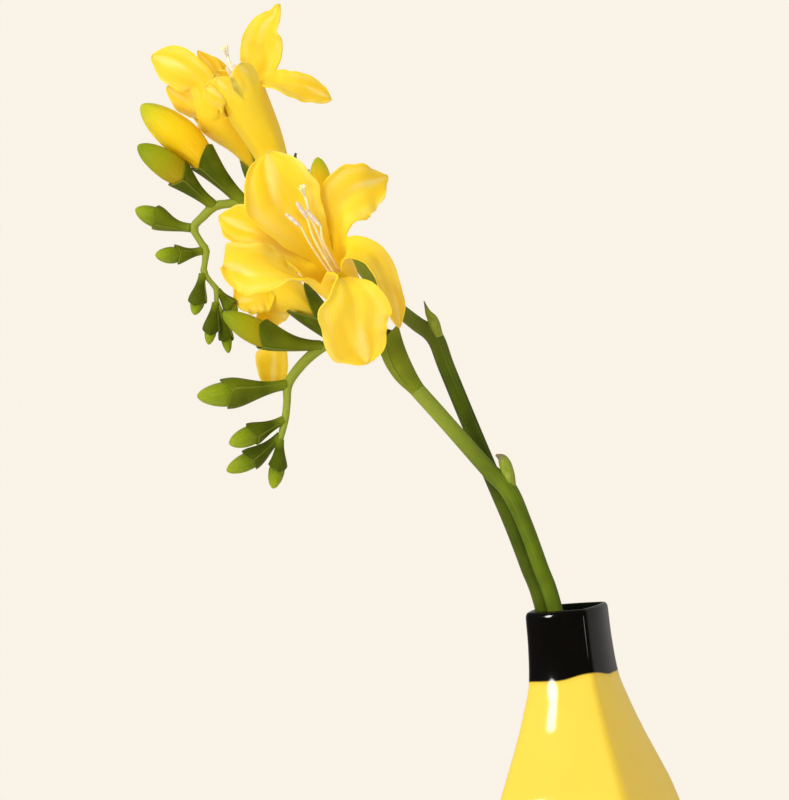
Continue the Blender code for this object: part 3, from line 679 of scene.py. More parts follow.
class Tube:
    """The space round a path: a point at a share of its length, an angle and a distance out."""

    STEPS = 80

    def __init__(self, path, first, share=1.0):
        self.path = path
        side = square_to(first, path.tangent(share))
        start = round(share * self.STEPS)
        sides = {start: side}
        for order in (range(start + 1, self.STEPS + 1), range(start - 1, -1, -1)):
            carried = side
            for k in order:
                carried = square_to(carried, path.tangent(k / self.STEPS))
                sides[k] = carried
        self.sides = [sides[k] for k in range(self.STEPS + 1)]
        self.known = {}

    def section(self, share):
        """Middle, axis and the two sideways directions at a share of the length."""
        if share not in self.known:
            axis = self.path.tangent(share)
            near = min(max(share, 0.0), 1.0) * self.STEPS
            low = min(int(near), self.STEPS - 1)
            side = square_to(self.sides[low].lerp(self.sides[low + 1], near - low), axis)
            self.known[share] = (self.path.point(share), axis, side, axis.cross(side))
        return self.known[share]

    def outward(self, share, angle):
        middle, axis, side, other = self.section(share)
        return side * math.cos(angle) + other * math.sin(angle)

    def point(self, share, angle, radius):
        return self.section(share)[0] + self.outward(share, angle) * radius


print("paths ready")

# %% [markdown]
# ## Sheets that follow a formula
#
# A petal widens, cups and bends all at once, and a stem swells and turns with every node. No single
# operator does that, so these pieces start as a grid primitive whose points are then moved by a
# formula. The grid brings its own UV map, across and along the sheet, which the finishes use for
# veins and fibres. Seams are closed by merging.

# %% Grid to sheet
SEAM_REACH = 0.02


def formed_sheet(name, columns, rows, place):
    """A grid moved to place(u, v): u goes from -1 to 1 across it and v from 0 to 1 along it."""
    pick_nothing()
    bpy.ops.mesh.primitive_grid_add(x_subdivisions=columns, y_subdivisions=rows, size=2.0)
    sheet = bpy.context.object
    sheet.name = name
    for vertex in sheet.data.vertices:
        v = round((vertex.co.y + 1.0) / 2.0 * rows) / rows
        vertex.co = place(vertex.co.x, v)
    return sheet


def join(name, pieces):
    """Joins some pieces under one name."""
    pick_nothing()
    for piece in pieces:
        piece.select_set(True)
    bpy.context.view_layer.objects.active = pieces[0]
    if len(pieces) > 1:
        bpy.ops.object.join()
    joined = bpy.context.object
    joined.name = name
    joined.data.name = name
    return joined


def close_seams(piece, fill=True):
    """Merges the points that meet, fills what is still open, and turns every face outwards."""
    work_on(piece)
    bpy.ops.object.mode_set(mode="EDIT")
    bpy.ops.mesh.select_all(action="SELECT")
    bpy.ops.mesh.remove_doubles(threshold=SEAM_REACH * MM)
    if fill:
        bpy.ops.mesh.fill_holes(sides=0)
        bpy.ops.mesh.select_all(action="SELECT")
    bpy.ops.mesh.normals_make_consistent(inside=False)
    bpy.ops.object.mode_set(mode="OBJECT")


def thicken(piece, wall):
    """Gives a sheet its wall, half on each side."""
    work_on(piece)
    solidify = piece.modifiers.new("wall", "SOLIDIFY")
    solidify.thickness = wall * MM
    solidify.offset = 0.0
    bpy.ops.object.modifier_apply(modifier=solidify.name)


def round_piece(name, path, columns, rows, shape=None):
    """A round rod along a path. The path's value is its radius in millimetres, times shape's."""
    tube = Tube(path, UP, 0.5)

    def place(u, v):
        angle = math.pi * u
        radius = path.value(v) * MM
        if shape:
            radius *= shape(angle, v)
        return tube.point(v, angle, radius)

    piece = formed_sheet(name, columns, rows, place)
    close_seams(piece)
    return piece


print("sheet helpers ready")

# %% [markdown]
# ## Stems
#
# Each cut stem is a juicy rod with fine fibres, a swollen node where a side shoot was cut off, and
# a slim zigzag end that carries the flowers and buds. A curve with a bevel would give an even pipe,
# so the rod is a wrapped sheet instead, which can swell at its nodes and carry the fibres along it.

# %% Stem routes
FRONT_FOOT = ((16.0, -3.5, 4.5), (9.5, -4.0, 50.0), (3.4, -4.3, 96.0))
REAR_FOOT = ((10.0, 5.5, 4.5), (3.5, 3.0, 50.0), (-2.2, -0.6, 96.0))
FRONT_STEM = (
    ((-3.2, 0, 3.6), 2.05),
    ((-6.8, 10.4, 3.9), 2.05),
    ((-11, 21.8, 4.6), 2.05),
    ((-15.2, 30.6, 5), 2.35),
    ((-20.2, 35.6, 4.9), 2.15),
    ((-27.6, 43.9, 4.2), 2.05),
    ((-33.7, 50.8, 3.6), 2.05),
    ((-39.4, 57.2, 3.0), 2.05),
    ((-44.6, 63.6, 1.6), 1.9),
    ((-48.6, 68.0, -0.8), 1.5),
    ((-53.8, 69.6, -3), 1.3),
    ((-59.4, 69.2, -3.5), 1.3),
    ((-63.5, 67.6, -2), 1.4),
    ((-68.3, 63.6, -0.5), 1.35),
    ((-72.2, 58.2, 0), 1.25),
    ((-72.6, 53.3, 0.3), 1.0),
    ((-73.1, 48.9, 0.5), 1.0),
    ((-74.4, 43.4, 0.5), 0.85),
)
REAR_STEM = (
    ((-6.1, -0.3, 0.4), 2.05),
    ((-9.7, 10.4, -0.1), 2.2),
    ((-13.9, 21.4, -1), 2.2),
    ((-18.5, 32.2, -2.6), 2.2),
    ((-24.9, 47.3, -4.2), 2.2),
    ((-31.0, 62.1, -5.2), 2.2),
    ((-34.2, 70.2, -5.8), 2.3),
    ((-39.1, 73.9, -6.2), 1.95),
    ((-45.8, 79.5, -7), 1.8),
    ((-52.1, 87.1, -8), 1.7),
    ((-57.8, 94.1, -8.6), 1.5),
    ((-64.6, 99.1, -8.8), 1.4),
    ((-71.6, 102.4, -8), 1.35),
    ((-78.6, 104.3, -6.8), 1.3),
    ((-84.1, 105.6, -5), 1.35),
    ((-87.7, 105, -4.2), 1.15),
    ((-91.6, 104.3, -3.4), 1.3),
    ((-94.6, 101.5, -3), 1.15),
    ((-97.0, 98.7, -2.4), 1.2),
    ((-95.5, 95.6, -2.4), 0.95),
    ((-93.8, 92.8, -2.2), 1.1),
    ((-94.0, 89.7, -2.2), 0.85),
    ((-94.3, 87.1, -2), 0.95),
    ((-92.7, 84.8, -2.4), 0.7),
    ((-91.0, 82.7, -2.6), 0.8),
    ((-91.0, 79.6, -2.6), 0.65),
    ((-89.8, 77, -2.8), 0.55),
)
FRONT_STUB = (
    ((-14.6, 30.6, 5.2), 1.6),
    ((-15.4, 35.2, 5.4), 1.7),
    ((-16.6, 38.4, 5.4), 1.35),
    ((-18.4, 39.6, 5.4), 0.3),
)
REAR_STUB = (
    ((-33.4, 70.2, -5.0), 1.5),
    ((-34.6, 74.4, -4.8), 1.45),
    ((-35.9, 76.6, -4.8), 0.8),
    ((-37.0, 79.6, -4.8), 0.12),
)
FRONT_RADIUS = 2.05
REAR_RADIUS = 1.7
STEM_GRID = (20, 200)
STUB_GRID = (20, 24)
RIB_COUNTS = (7, 12)
RIB_DEPTHS = (0.018, 0.012)
RIB_TWIST = 20
print("spots on the stems:", len(FRONT_STEM), "and", len(REAR_STEM))


def stem_path(foot, radius, spots):
    """From the foot in the bottle to the stem's end on the plane."""
    points = [Vector(place) * MM for place in foot] + [spot(place) for place, wide in spots]
    return Path(points, [radius] * len(foot) + [wide for place, wide in spots])


def ribs(angle, share):
    """Faint ribs along a stem, so that its light side isn't one even band."""
    broad = RIB_DEPTHS[0] * math.cos(RIB_COUNTS[0] * angle)
    return 1.0 + broad + RIB_DEPTHS[1] * math.cos(RIB_COUNTS[1] * angle + RIB_TWIST * share)


# %% Green of the stems


def make_stem_green(name, base, dark, pale, young):
    """Fibres and clouds of green, paler towards the young end that carries the flowers."""
    green = Finish(name, Roughness=0.5, Specular_IOR_Level=0.12)
    along = green.split(green.sheet())[1]
    fibres = green.grain(green.sheet((26.0, 2.5, 1.0)), 3.0, 3.0, 0.6)
    clouds = green.grain(green.place(), 70.0, 3.0)
    colour = green.mix(clouds.over(0.3, 0.7), base, dark)
    colour = green.mix(fibres.over(0.5, 0.85) * 0.6, colour, pale)
    colour = green.mix(along.over(0.60, 0.80) * 0.8, colour, young)
    green.feed(Base_Color=colour)
    green.relief(fibres, 0.0003, 0.5)
    return green


STUB_GREEN = (0.20, 0.27, 0.012)
STUB_PALE = (0.38, 0.42, 0.07)
STUB_DRY = (0.22, 0.17, 0.09)


def make_stub_green():
    """A cut side shoot: pale green, with a dry brown tip."""
    stub = Finish("stub_green", Roughness=0.55, Specular_IOR_Level=0.2)
    along = stub.split(stub.sheet())[1]
    fibres = stub.grain(stub.sheet((16.0, 1.5, 1.0)), 3.0, 3.0, 0.6)
    colour = stub.mix(fibres.over(0.35, 0.75), STUB_GREEN, STUB_PALE)
    colour = stub.mix((along + (fibres - 0.5) * 0.3).over(0.72, 0.92), colour, STUB_DRY)
    stub.feed(Base_Color=colour)
    stub.relief(fibres, 0.0003, 0.6)
    return stub


# %% Model the stems


def make_stem(name, path, green, slot, node):
    """A ribbed rod along the stem's whole path."""
    stem = round_piece(name, path, *STEM_GRID, ribs)
    smooth(stem, 60.0)
    dress(stem, green, slot, node)


def make_stub(name, spots, finish, node):
    """The short rest of a side shoot that was cut off at a node."""
    path = Path([spot(place) for place, wide in spots], [wide for place, wide in spots])
    stub = round_piece(name, path, *STUB_GRID, ribs)
    smooth(stub, 60.0)
    dress(stub, finish, "stem_green", node)


front_path = stem_path(FRONT_FOOT, FRONT_RADIUS, FRONT_STEM)
rear_path = stem_path(REAR_FOOT, REAR_RADIUS, REAR_STEM)
YOUNG_GREEN = (0.34, 0.41, 0.05)
light_green = make_stem_green(
    "stem_light_green",
    base=(0.115, 0.175, 0.004),
    dark=(0.055, 0.088, 0.002),
    pale=(0.34, 0.40, 0.06),
    young=YOUNG_GREEN,
)
# painted shade: the stem behind gets a darker copy of the same stem green
shaded_stem_green = make_stem_green(
    "stem_green_painted_shade",
    base=(0.075, 0.112, 0.003),
    dark=(0.035, 0.056, 0.001),
    pale=(0.26, 0.31, 0.04),
    young=YOUNG_GREEN,
)
make_stem("stem_a", front_path, light_green, "stem_green", "stem_front")
make_stem("stem_b", rear_path, shaded_stem_green, "stem_dark_green", "stem_rear")
stub_green = make_stub_green()
make_stub("stub_a", FRONT_STUB, stub_green, "stem_front")
make_stub("stub_b", REAR_STUB, stub_green, "stem_rear")

# %% [markdown]
# ## Buds and their bracts
#
# A freesia bud is a slim drop wrapped in three petals that overlap, so its section is a circle with
# three small steps that turn a little along its length. Two green bracts hold its foot. Each is a
# pointed valve that goes half round it, and one edge of each laps over the other. Bud and valves
# are wrapped sheets on the bud's own path.

# %% Bud sizes
Bud = namedtuple("Bud", "name spots radius cover finish turn lift", defaults=(-0.5, 0.8))
FRONT_BUDS = (
    Bud(
        "bud_front_1",
        ((-63, 67.9, -1.6), (-70.8, 68.5, 1), (-79.1, 71.0, 3), (-89.3, 76.4, 3.5)),
        radius=3.45, cover=0.62, finish="ripening", turn=-1.1, lift=1.1,
    ),
    Bud(
        "bud_front_2",
        ((-72.1, 58, 0), (-79.1, 56.7, 1.5), (-87.2, 55.6, 2), (-96.0, 54.8, 1.5)),
        radius=3.35, cover=0.70, finish="green", turn=0.2,
    ),
    Bud(
        "bud_front_3",
        ((-72.9, 48.9, 0.5), (-79.1, 46.0, 2), (-87.6, 42.4, 3)),
        radius=2.6, cover=0.60, finish="green",
    ),
    Bud(
        "bud_front_4",
        ((-73.9, 45, 0.4), (-80.4, 39.4, -2.2), (-88.4, 35.3, -3.4)),
        radius=2.4, cover=0.62, finish="green", turn=-0.4, lift=0.7,
    ),
    Bud(
        "bud_front_5",
        ((-74.4, 43.4, 0.5), (-74.9, 37.2, 2.6), (-76.2, 30.8, 2.8)),
        radius=2.1, cover=0.62, finish="green", turn=-0.8, lift=0.0,
    ),
)
REAR_BUDS = (
    Bud(
        "bud_rear_1",
        ((-61.4, 96.5, -9), (-63.2, 104.5, -9.5), (-64.8, 117.2, -7)),
        radius=2.8, cover=0.40, finish="yellow", turn=-0.5, lift=1.8,
    ),
    Bud(
        "bud_rear_2",
        ((-84.1, 105.3, -5), (-90.0, 111.5, -3.5), (-99.2, 121.4, -3), (-110.7, 130.7, -4)),
        radius=4.9, cover=0.44, finish="yellow", turn=-0.75,
    ),
    Bud(
        "bud_rear_3",
        ((-91.6, 104.3, -3.4), (-96.7, 108.5, -1), (-103.6, 114.8, 1), (-111.4, 120.0, 1)),
        radius=3.65, cover=0.50, finish="ripening", turn=-0.3,
    ),
    Bud(
        "bud_rear_4",
        ((-97.0, 98.5, -2.4), (-102.4, 99.5, -3.4), (-108, 101.9, -4), (-112.2, 103.6, -4)),
        radius=2.6, cover=0.66, finish="green", turn=-0.7,
    ),
    Bud(
        "bud_rear_5",
        ((-94.2, 92.8, -2.2), (-99.9, 91.7, -0.8), (-106.9, 91.5, 0)),
        radius=2.2, cover=0.55, finish="green", turn=0.3,
    ),
    Bud(
        "bud_rear_6",
        ((-94.5, 87.4, -2), (-95.5, 81.6, -1), (-96.7, 75.9, -1)),
        radius=1.85, cover=0.74, finish="green", turn=-0.9,
    ),
    Bud(
        "bud_rear_7",
        ((-91.1, 82.9, -2.6), (-89, 80.3, -4), (-85.7, 76.4, -5)),
        radius=1.5, cover=0.74, finish="green",
    ),
    Bud(
        "bud_rear_8",
        ((-91.1, 79.8, -2.6), (-92.1, 74.2, -1), (-93.0, 68.2, -0.8)),
        radius=1.6, cover=0.74, finish="green", turn=-0.9,
    ),
    Bud(
        "bud_rear_9",
        ((-90, 77.2, -2.8), (-88.9, 72, -4.2), (-87.9, 66.0, -4.6)),
        radius=1.4, cover=0.74, finish="green", turn=-0.5, lift=0.0,
    ),
)
BUD_SEAT = 1.1
BRACT_WALL = 0.35
BRACT_ROOM = 0.35
BRACT_LAP = 0.14
BRACT_NOTCH = 0.84
BUD_STEPS = 3
BUD_FULL = 0.6
BUD_NECK = 0.26
BUD_GRID = (48, 28)
FOLD_DEPTH = 0.11
FOLD_LEVEL = 0.35
FOLD_TWIST = 0.45
BRACT_GRID = (16, 24)
BRACT_CUP = 0.6
BRACT_POINT = 0.75
BRACT_TIP = 0.03
BRACT_KEEL = 0.28
print("buds:", len(FRONT_BUDS), "in front and", len(REAR_BUDS), "behind")


def bud_share(share):
    """The bud's radius as a share of its widest: slim foot, full middle, blunt tip."""
    if share < BUD_FULL:
        swell = math.sin(math.pi / 2 * (max(share, 0.0) / BUD_FULL) ** 2)
        return BUD_NECK + (1.0 - BUD_NECK) * swell
    past = (share - BUD_FULL) / (1.0 - BUD_FULL)
    return max(1.0 - past * past, 0.0) ** 0.6


def folds(angle, share):
    """Three petals that overlap, each prouder at its edge than where it slips under the next."""
    turn = (BUD_STEPS * angle / (2 * math.pi) + FOLD_TWIST * share) % 1.0
    return 1.0 + FOLD_DEPTH * (turn**2 - FOLD_LEVEL) * ease(3.0 * share)


# %% Bud finishes


def make_bud_skin(name, foot, middle, tip, streak):
    """Foot, middle and tip colour along the bud, with long fine streaks."""
    skin = Finish(
        name,
        Roughness=0.42,
        Specular_IOR_Level=0.18,
        Subsurface_Weight=0.25,
        Subsurface_Scale=0.0012,
        Subsurface_Radius=(1.0, 0.7, 0.1),
    )
    along = skin.split(skin.sheet())[1]
    clouds = skin.grain(skin.place(), 120.0, 3.0)
    streaks = skin.grain(skin.sheet((14.0, 1.2, 1.0)), 4.0, 3.0)
    colour = skin.mix((along + (clouds - 0.5) * 0.35).over(0.25, 0.6), foot, middle)
    colour = skin.mix((along + (streaks - 0.5) * 0.45).over(0.42, 0.9), colour, tip)
    colour = skin.mix(streaks.over(0.5, 0.8) * 0.4, colour, streak)
    skin.feed(Base_Color=colour)
    skin.relief(streaks, 0.0003, 0.35)
    return skin


bud_skins = {
    "yellow": make_bud_skin(
        "bud_yellow",
        foot=(0.84, 0.52, 0.004),
        middle=(0.85, 0.58, 0.005),
        tip=(0.44, 0.50, 0.012),
        streak=(0.93, 0.68, 0.07),
    ),
    "ripening": make_bud_skin(
        "bud_ripening",
        foot=(0.38, 0.27, 0.002),
        middle=(0.31, 0.32, 0.002),
        tip=(0.20, 0.28, 0.003),
        streak=(0.48, 0.50, 0.015),
    ),
    "green": make_bud_skin(
        "bud_green",
        foot=(0.11, 0.16, 0.002),
        middle=(0.20, 0.27, 0.003),
        tip=(0.28, 0.36, 0.010),
        streak=(0.38, 0.46, 0.025),
    ),
}

print("bud skins:", ", ".join(bud_skins))

# %% Bract finish
BRACT_VEIN = (0.16, 0.20, 0.012)
BRACT_EDGE = (0.26, 0.30, 0.05)
BRACT_FOOT = (0.20, 0.26, 0.012)


def make_bract_green(name, dark, light):
    """Clouded green with long veins, a paler edge and a paler foot."""
    green = Finish(name, Roughness=0.5, Specular_IOR_Level=0.12)
    across, along = green.split(green.sheet())[:2]
    edge = abs(across * 2.0 - 1.0).over(0.88, 0.99)
    veins = green.grain(green.sheet((22.0, 0.8, 1.0)), 3.0, 2.0)
    clouds = green.grain(green.place(), 90.0, 3.0)
    colour = green.mix(clouds.over(0.3, 0.75), dark, light)
    colour = green.mix(veins.over(0.5, 0.8) * 0.5, colour, BRACT_VEIN)
    colour = green.mix(edge * 0.45, colour, BRACT_EDGE)
    colour = green.mix((1.0 - along.over(0.0, 0.3)) * 0.8, colour, BRACT_FOOT)
    green.feed(Base_Color=colour)
    green.relief(veins, 0.0003, 0.5)
    return green


bract_green = make_bract_green("bract_green", (0.058, 0.084, 0.001), (0.150, 0.195, 0.003))
# painted light: the centre flower's sheath gets a lighter copy of the bract green, against the
# shadow that the flower casts on it
sheath_green_painted_light = make_bract_green("sheath_green_painted_light", (0.15, 0.19, 0.005), (0.27, 0.32, 0.02))

# %% Model the buds


def bract_sheet(name, tube, radius_at, split, tips, turn=0.0):
    """Two pointed valves round a bud's or flower's foot. One edge of each laps over the other."""
    valves = []
    for valve, tip in enumerate(tips):
        middle = turn + math.pi * valve

        def place(u, v, middle=middle, tip=tip):
            past = max(v - BRACT_CUP, 0.0) / (1.0 - BRACT_CUP)
            share = split * v / BRACT_CUP if v <= BRACT_CUP else between(split, tip, past)
            half = (math.pi / 2 + BRACT_LAP) * (1.0 - past) ** BRACT_POINT + BRACT_TIP
            keel = BRACT_KEEL * ease(v * 1.5) * (1.0 - abs(u)) ** 3
            lap = BRACT_LAP * u * ease(v * 3.0)
            return tube.point(share, middle + u * half, (radius_at(share) + keel + lap) * MM)

        valves.append(formed_sheet(f"{name}_{valve}", *BRACT_GRID, place))
    bract = join(name, valves)
    close_seams(bract, fill=False)
    thicken(bract, BRACT_WALL)
    smooth(bract, 60.0)
    return bract


def make_bud(bud):
    """Models and dresses the closed petals, and gives back the bract for its stem."""
    path = Path([spot(place) for place in bud.spots]).after(bud.lift)
    tube = Tube(path, UP, 0.5)
    seat = BUD_SEAT * MM / path.length

    def bud_radius(share):
        return bud.radius * bud_share((share - seat) / (1.0 - seat))

    def place(u, v):
        share = between(seat, 1.0, math.sin(math.pi / 2 * v))
        radius = bud_radius(share) * folds(math.pi * u, share) * MM
        return tube.point(share, math.pi * u, radius)

    body = formed_sheet(bud.name + "_petals", *BUD_GRID, place)
    close_seams(body)
    smooth(body, 50.0)
    dress(body, bud_skins[bud.finish], "bud_green", bud.name)
    split, tips = bud.cover * BRACT_NOTCH, (bud.cover * 1.04, bud.cover * 0.96)

    def cup_radius(share):
        return bud_radius(share) + BRACT_ROOM

    return bract_sheet(bud.name + "_bract", tube, cup_radius, split, tips, bud.turn)


front_bracts = [make_bud(bud) for bud in FRONT_BUDS]
rear_bracts = [make_bud(bud) for bud in REAR_BUDS]

# %% [markdown]
# ## Flowers
#
# A freesia flower is a slim tube that opens as a funnel into six petals, and petals and tube are
# one skin. So each flower is six long sheets, side by side round the tube, merged along the tube
# and free past the throat. A petal follows its own path from the throat, with a width at each spot,
# and turns until its inner face looks the given way. Its edge waves and is a little ragged, its
# middle line is a shallow groove, and noise gives it soft pleats and crinkles, since no petal is as
# smooth as its formula. The wall comes last, from Solidify.

# %% What a flower is made of
Petal = namedtuple("Petal", "spots facing cup wave frill soon", defaults=(0.0, 1.2))
Ring = namedtuple("Ring", "length opening half cup wave frill soon", defaults=(0.0, 1.2))
Flower = namedtuple("Flower", "name node tube_spots tube throat first petals bract stamens")
Bract = namedtuple("Bract", "spots split tips turn")
Stamens = namedtuple("Stamens", "anthers style")
print("a petal is given by:", ", ".join(Petal._fields))

# %% The flower in the middle
CENTRE = Flower(
    name="flower_centre",
    node="bloom_front_1",
    tube_spots=((-41.4, 58.8, 2.4), (-46.2, 66.6, 6), (-54.9, 78.5, 14), (-62, 88.1, 21.5)),
    tube=1.5,
    throat=6.5,
    first=(-0.19, 0.51, -0.84),
    petals=(
        Petal(
            (
                (-69.2, 98.8, 22, 7.4), (-72.9, 105.0, 25, 9.8), (-75.0, 110.2, 26, 8.7),
                (-76.4, 114.2, 25.4, 6.2), (-77.3, 117.4, 24, 3.6),
            ),
            facing=(0.1, -0.35, 0.93), cup=0.3, wave=0.3, frill=0.25,
        ),
        Petal(
            (
                (-73.9, 94.0, 18.5, 4.8), (-80.4, 97.8, 20, 5.6), (-85.6, 99.6, 19, 4.9),
                (-89.8, 101.2, 17.5, 2.4),
            ),
            facing=(0.2, 0.2, 0.95), cup=0.3, wave=0.7, frill=0.5,
        ),
        Petal(
            (
                (-71.6, 85.5, 26, 5.0), (-80.4, 87.3, 27, 6.5), (-85.4, 88.4, 25, 6.6),
                (-88.5, 88.5, 22.5, 5.4),
            ),
            facing=(0.1, -0.25, 0.95), cup=0.25, wave=0.8, frill=0.7,
        ),
        Petal(
            (
                (-57.6, 84.4, 28.6, 3.6), (-55.8, 81.8, 30.8, 5.9), (-55.1, 78.8, 31.2, 8.5),
                (-55.2, 74.9, 30, 9.4), (-54.6, 70.2, 27.5, 8.5), (-52.9, 66.4, 25, 6.9),
                (-51.8, 63.2, 23.5, 4.9),
            ),
            facing=(0, 0.1, 1), cup=0.10, wave=0.2, frill=0.3, soon=3.0,
        ),
        Petal(
            (
                (-56.6, 92.4, 27.5, 3.4), (-53.6, 92.6, 28.2, 3.2), (-50.2, 91.0, 27.5, 3.3),
                (-47.5, 87.2, 24, 3.3), (-45.7, 82.2, 20, 3.1), (-44.3, 77.4, 14.5, 2.6),
                (-43.2, 72.6, 9, 1.2),
            ),
            facing=(0.3, 0.1, 0.95), cup=0.3, wave=0.2, frill=0.1, soon=4.0,
        ),
        Petal(
            (
                (-58.9, 98.8, 21.5, 4.6), (-58.2, 103.0, 22.5, 6.6), (-56.0, 106.2, 23, 7.6),
                (-52.9, 108.1, 22.5, 7.0), (-49.0, 110.0, 20, 4.0), (-46.4, 111.3, 17.5, 1.3),
            ),
            facing=(-0.1, -0.2, 0.97), cup=0.2, wave=0.6, frill=0.7,
        ),
    ),
    bract=Bract(
        (
            (-38.6, 56.3, 3.1, 1.85), (-42.3, 61.0, 3.7, 2.7), (-45.1, 66.6, 5.4, 3.0),
            (-46.4, 72.9, 7.4, 2.5),
        ),
        split=0.86, tips=(1.0, 0.97), turn=-1.2,
    ),
    stamens=Stamens(
        anthers=(
            ((-68.6, 98.2, 28.5), (-72.6, 101.6, 29.5)),
            ((-67.0, 100.2, 29.5), (-69.8, 104.6, 31.0)),
            ((-63.6, 98.4, 28.0), (-67.4, 102.6, 29.5)),
        ),
        style=(-68.4, 108.6, 31.0),
    ),
)
print(CENTRE.name, "has", len(CENTRE.petals), "petals")

# %% The flower behind and below it
LOWER = Flower(
    name="flower_lower",
    node="bloom_front_2",
    tube_spots=((-59.4, 69.4, -3.2), (-63, 73.3, 0.5), (-68.5, 78.5, -4), (-73.4, 81.6, -10)),
    tube=1.5,
    throat=5.2,
    first=(-0.4, -0.9, 0.0),
    petals=(
        Petal(
            (
                (-77, 75.9, -12.5, 3.6), (-77.6, 72, -11.5, 4.3), (-76.8, 66.3, -9, 4.5),
                (-76.5, 57.4, -8.5, 3.6),
            ),
            facing=(0.2, 0.0, 0.95), cup=0.2, wave=0.3, frill=0.15,
        ),
        Petal(
            (
                (-77.5, 81.4, -7.0, 4.8), (-80.9, 81.2, -5.8, 5.4), (-83.8, 80.2, -5.4, 4.6),
                (-86.0, 79.2, -5, 2.8),
            ),
            facing=(-0.1, 0.3, 0.9), cup=0.2, wave=0.6, frill=0.6, soon=2.4,
        ),
        Ring(length=13.0, opening=34.0, half=3.6, cup=0.3, wave=0.3, frill=0.4),
        Ring(length=13.0, opening=60.0, half=3.8, cup=0.3, wave=0.3, frill=0.4),
        Ring(length=13.0, opening=40.0, half=3.6, cup=0.3, wave=0.3, frill=0.4),
        Ring(length=12.0, opening=60.0, half=3.8, cup=0.3, wave=0.3, frill=0.4),
    ),
    bract=Bract(
        (
            (-60.4, 70.4, -2.6, 2.0), (-64.0, 74.6, 0.2, 3.2), (-67.6, 78.2, 0.4, 4.0),
            (-70.8, 81.2, -1.0, 4.2),
        ),
        split=0.45, tips=(1.0, 0.92), turn=-0.25,
    ),
    stamens=Stamens(
        anthers=(
            ((-76.5, 84.0, -14.5), (-79.5, 86.0, -17.0)),
            ((-77.5, 83.0, -14.0), (-80.9, 84.0, -16.0)),
            ((-76.0, 83.0, -15.0), (-78.6, 84.4, -18.0)),
        ),
        style=(-80.6, 86.0, -18.0),
    ),
)
print(LOWER.name, "has", len(LOWER.petals), "petals")

# %% The flower at the top
TOP = Flower(
    name="flower_top",
    node="bloom_rear_1",
    tube_spots=((-71.6, 102.7, -8), (-74.4, 110.5, -5), (-78.3, 121.2, -2), (-84.2, 132.6, 1)),
    tube=1.6,
    throat=6.2,
    first=(0.87, 0.45, 0.0),
    petals=(
        Petal(
            (
                (-77.4, 136.6, 1.5, 3.8), (-74.2, 136.2, 3, 4.2), (-70.3, 135.2, 3, 4.2),
                (-66.4, 134.1, 2, 3.6), (-63.0, 132.9, 1, 2.6), (-61.2, 132.2, 0, 1.6),
            ),
            facing=(0.1, 0.4, 0.9), cup=0.15, wave=0.3, frill=0.2,
        ),
        Petal(
            (
                (-79.6, 140.7, -6, 5.3), (-79.2, 144.6, -7, 5.7), (-78.9, 148.0, -6.5, 5.7),
                (-78.2, 151.2, -6, 4.3), (-76.0, 154.2, -5.5, 2.0), (-75.0, 157.0, -5, 1.3),
            ),
            facing=(-0.3, 0.0, 0.95), cup=0.3, wave=0.6, frill=0.5,
        ),
        Ring(length=8.0, opening=2.0, half=4.0, cup=0.6, wave=0.0),
        Petal(
            ((-87.6, 131.8, 5.6, 4.3), (-90.6, 133.6, 6.6, 4.1), (-93.7, 134.9, 6.2, 2.6)),
            facing=(-0.1, 0.3, 0.95), cup=0.3, wave=0.1, frill=0.1, soon=2.6,
        ),
        Ring(length=8.5, opening=6.0, half=4.0, cup=0.6, wave=0.0),
        Ring(length=9.0, opening=4.0, half=4.2, cup=0.6, wave=0.0),
    ),
    bract=Bract(
        (
            (-71.6, 102.7, -8, 1.9), (-70.9, 108.0, -7.5, 2.5), (-69.7, 112.8, -8, 2.4),
            (-68.4, 117.6, -8.5, 2.2),
        ),
        split=0.25, tips=(1.0, 0.8), turn=0.0,
    ),
    stamens=Stamens(
        anthers=(
            ((-86.0, 136.4, 0.5), (-88.4, 140.4, 0.5)),
            ((-85.0, 136.4, 2.0), (-86.6, 141.2, 1.5)),
            ((-84.4, 136.0, 0.0), (-85.0, 140.4, -0.5)),
        ),
        style=(-89.0, 145.8, 1.0),
    ),
)
print(TOP.name, "has", len(TOP.petals), "petals")

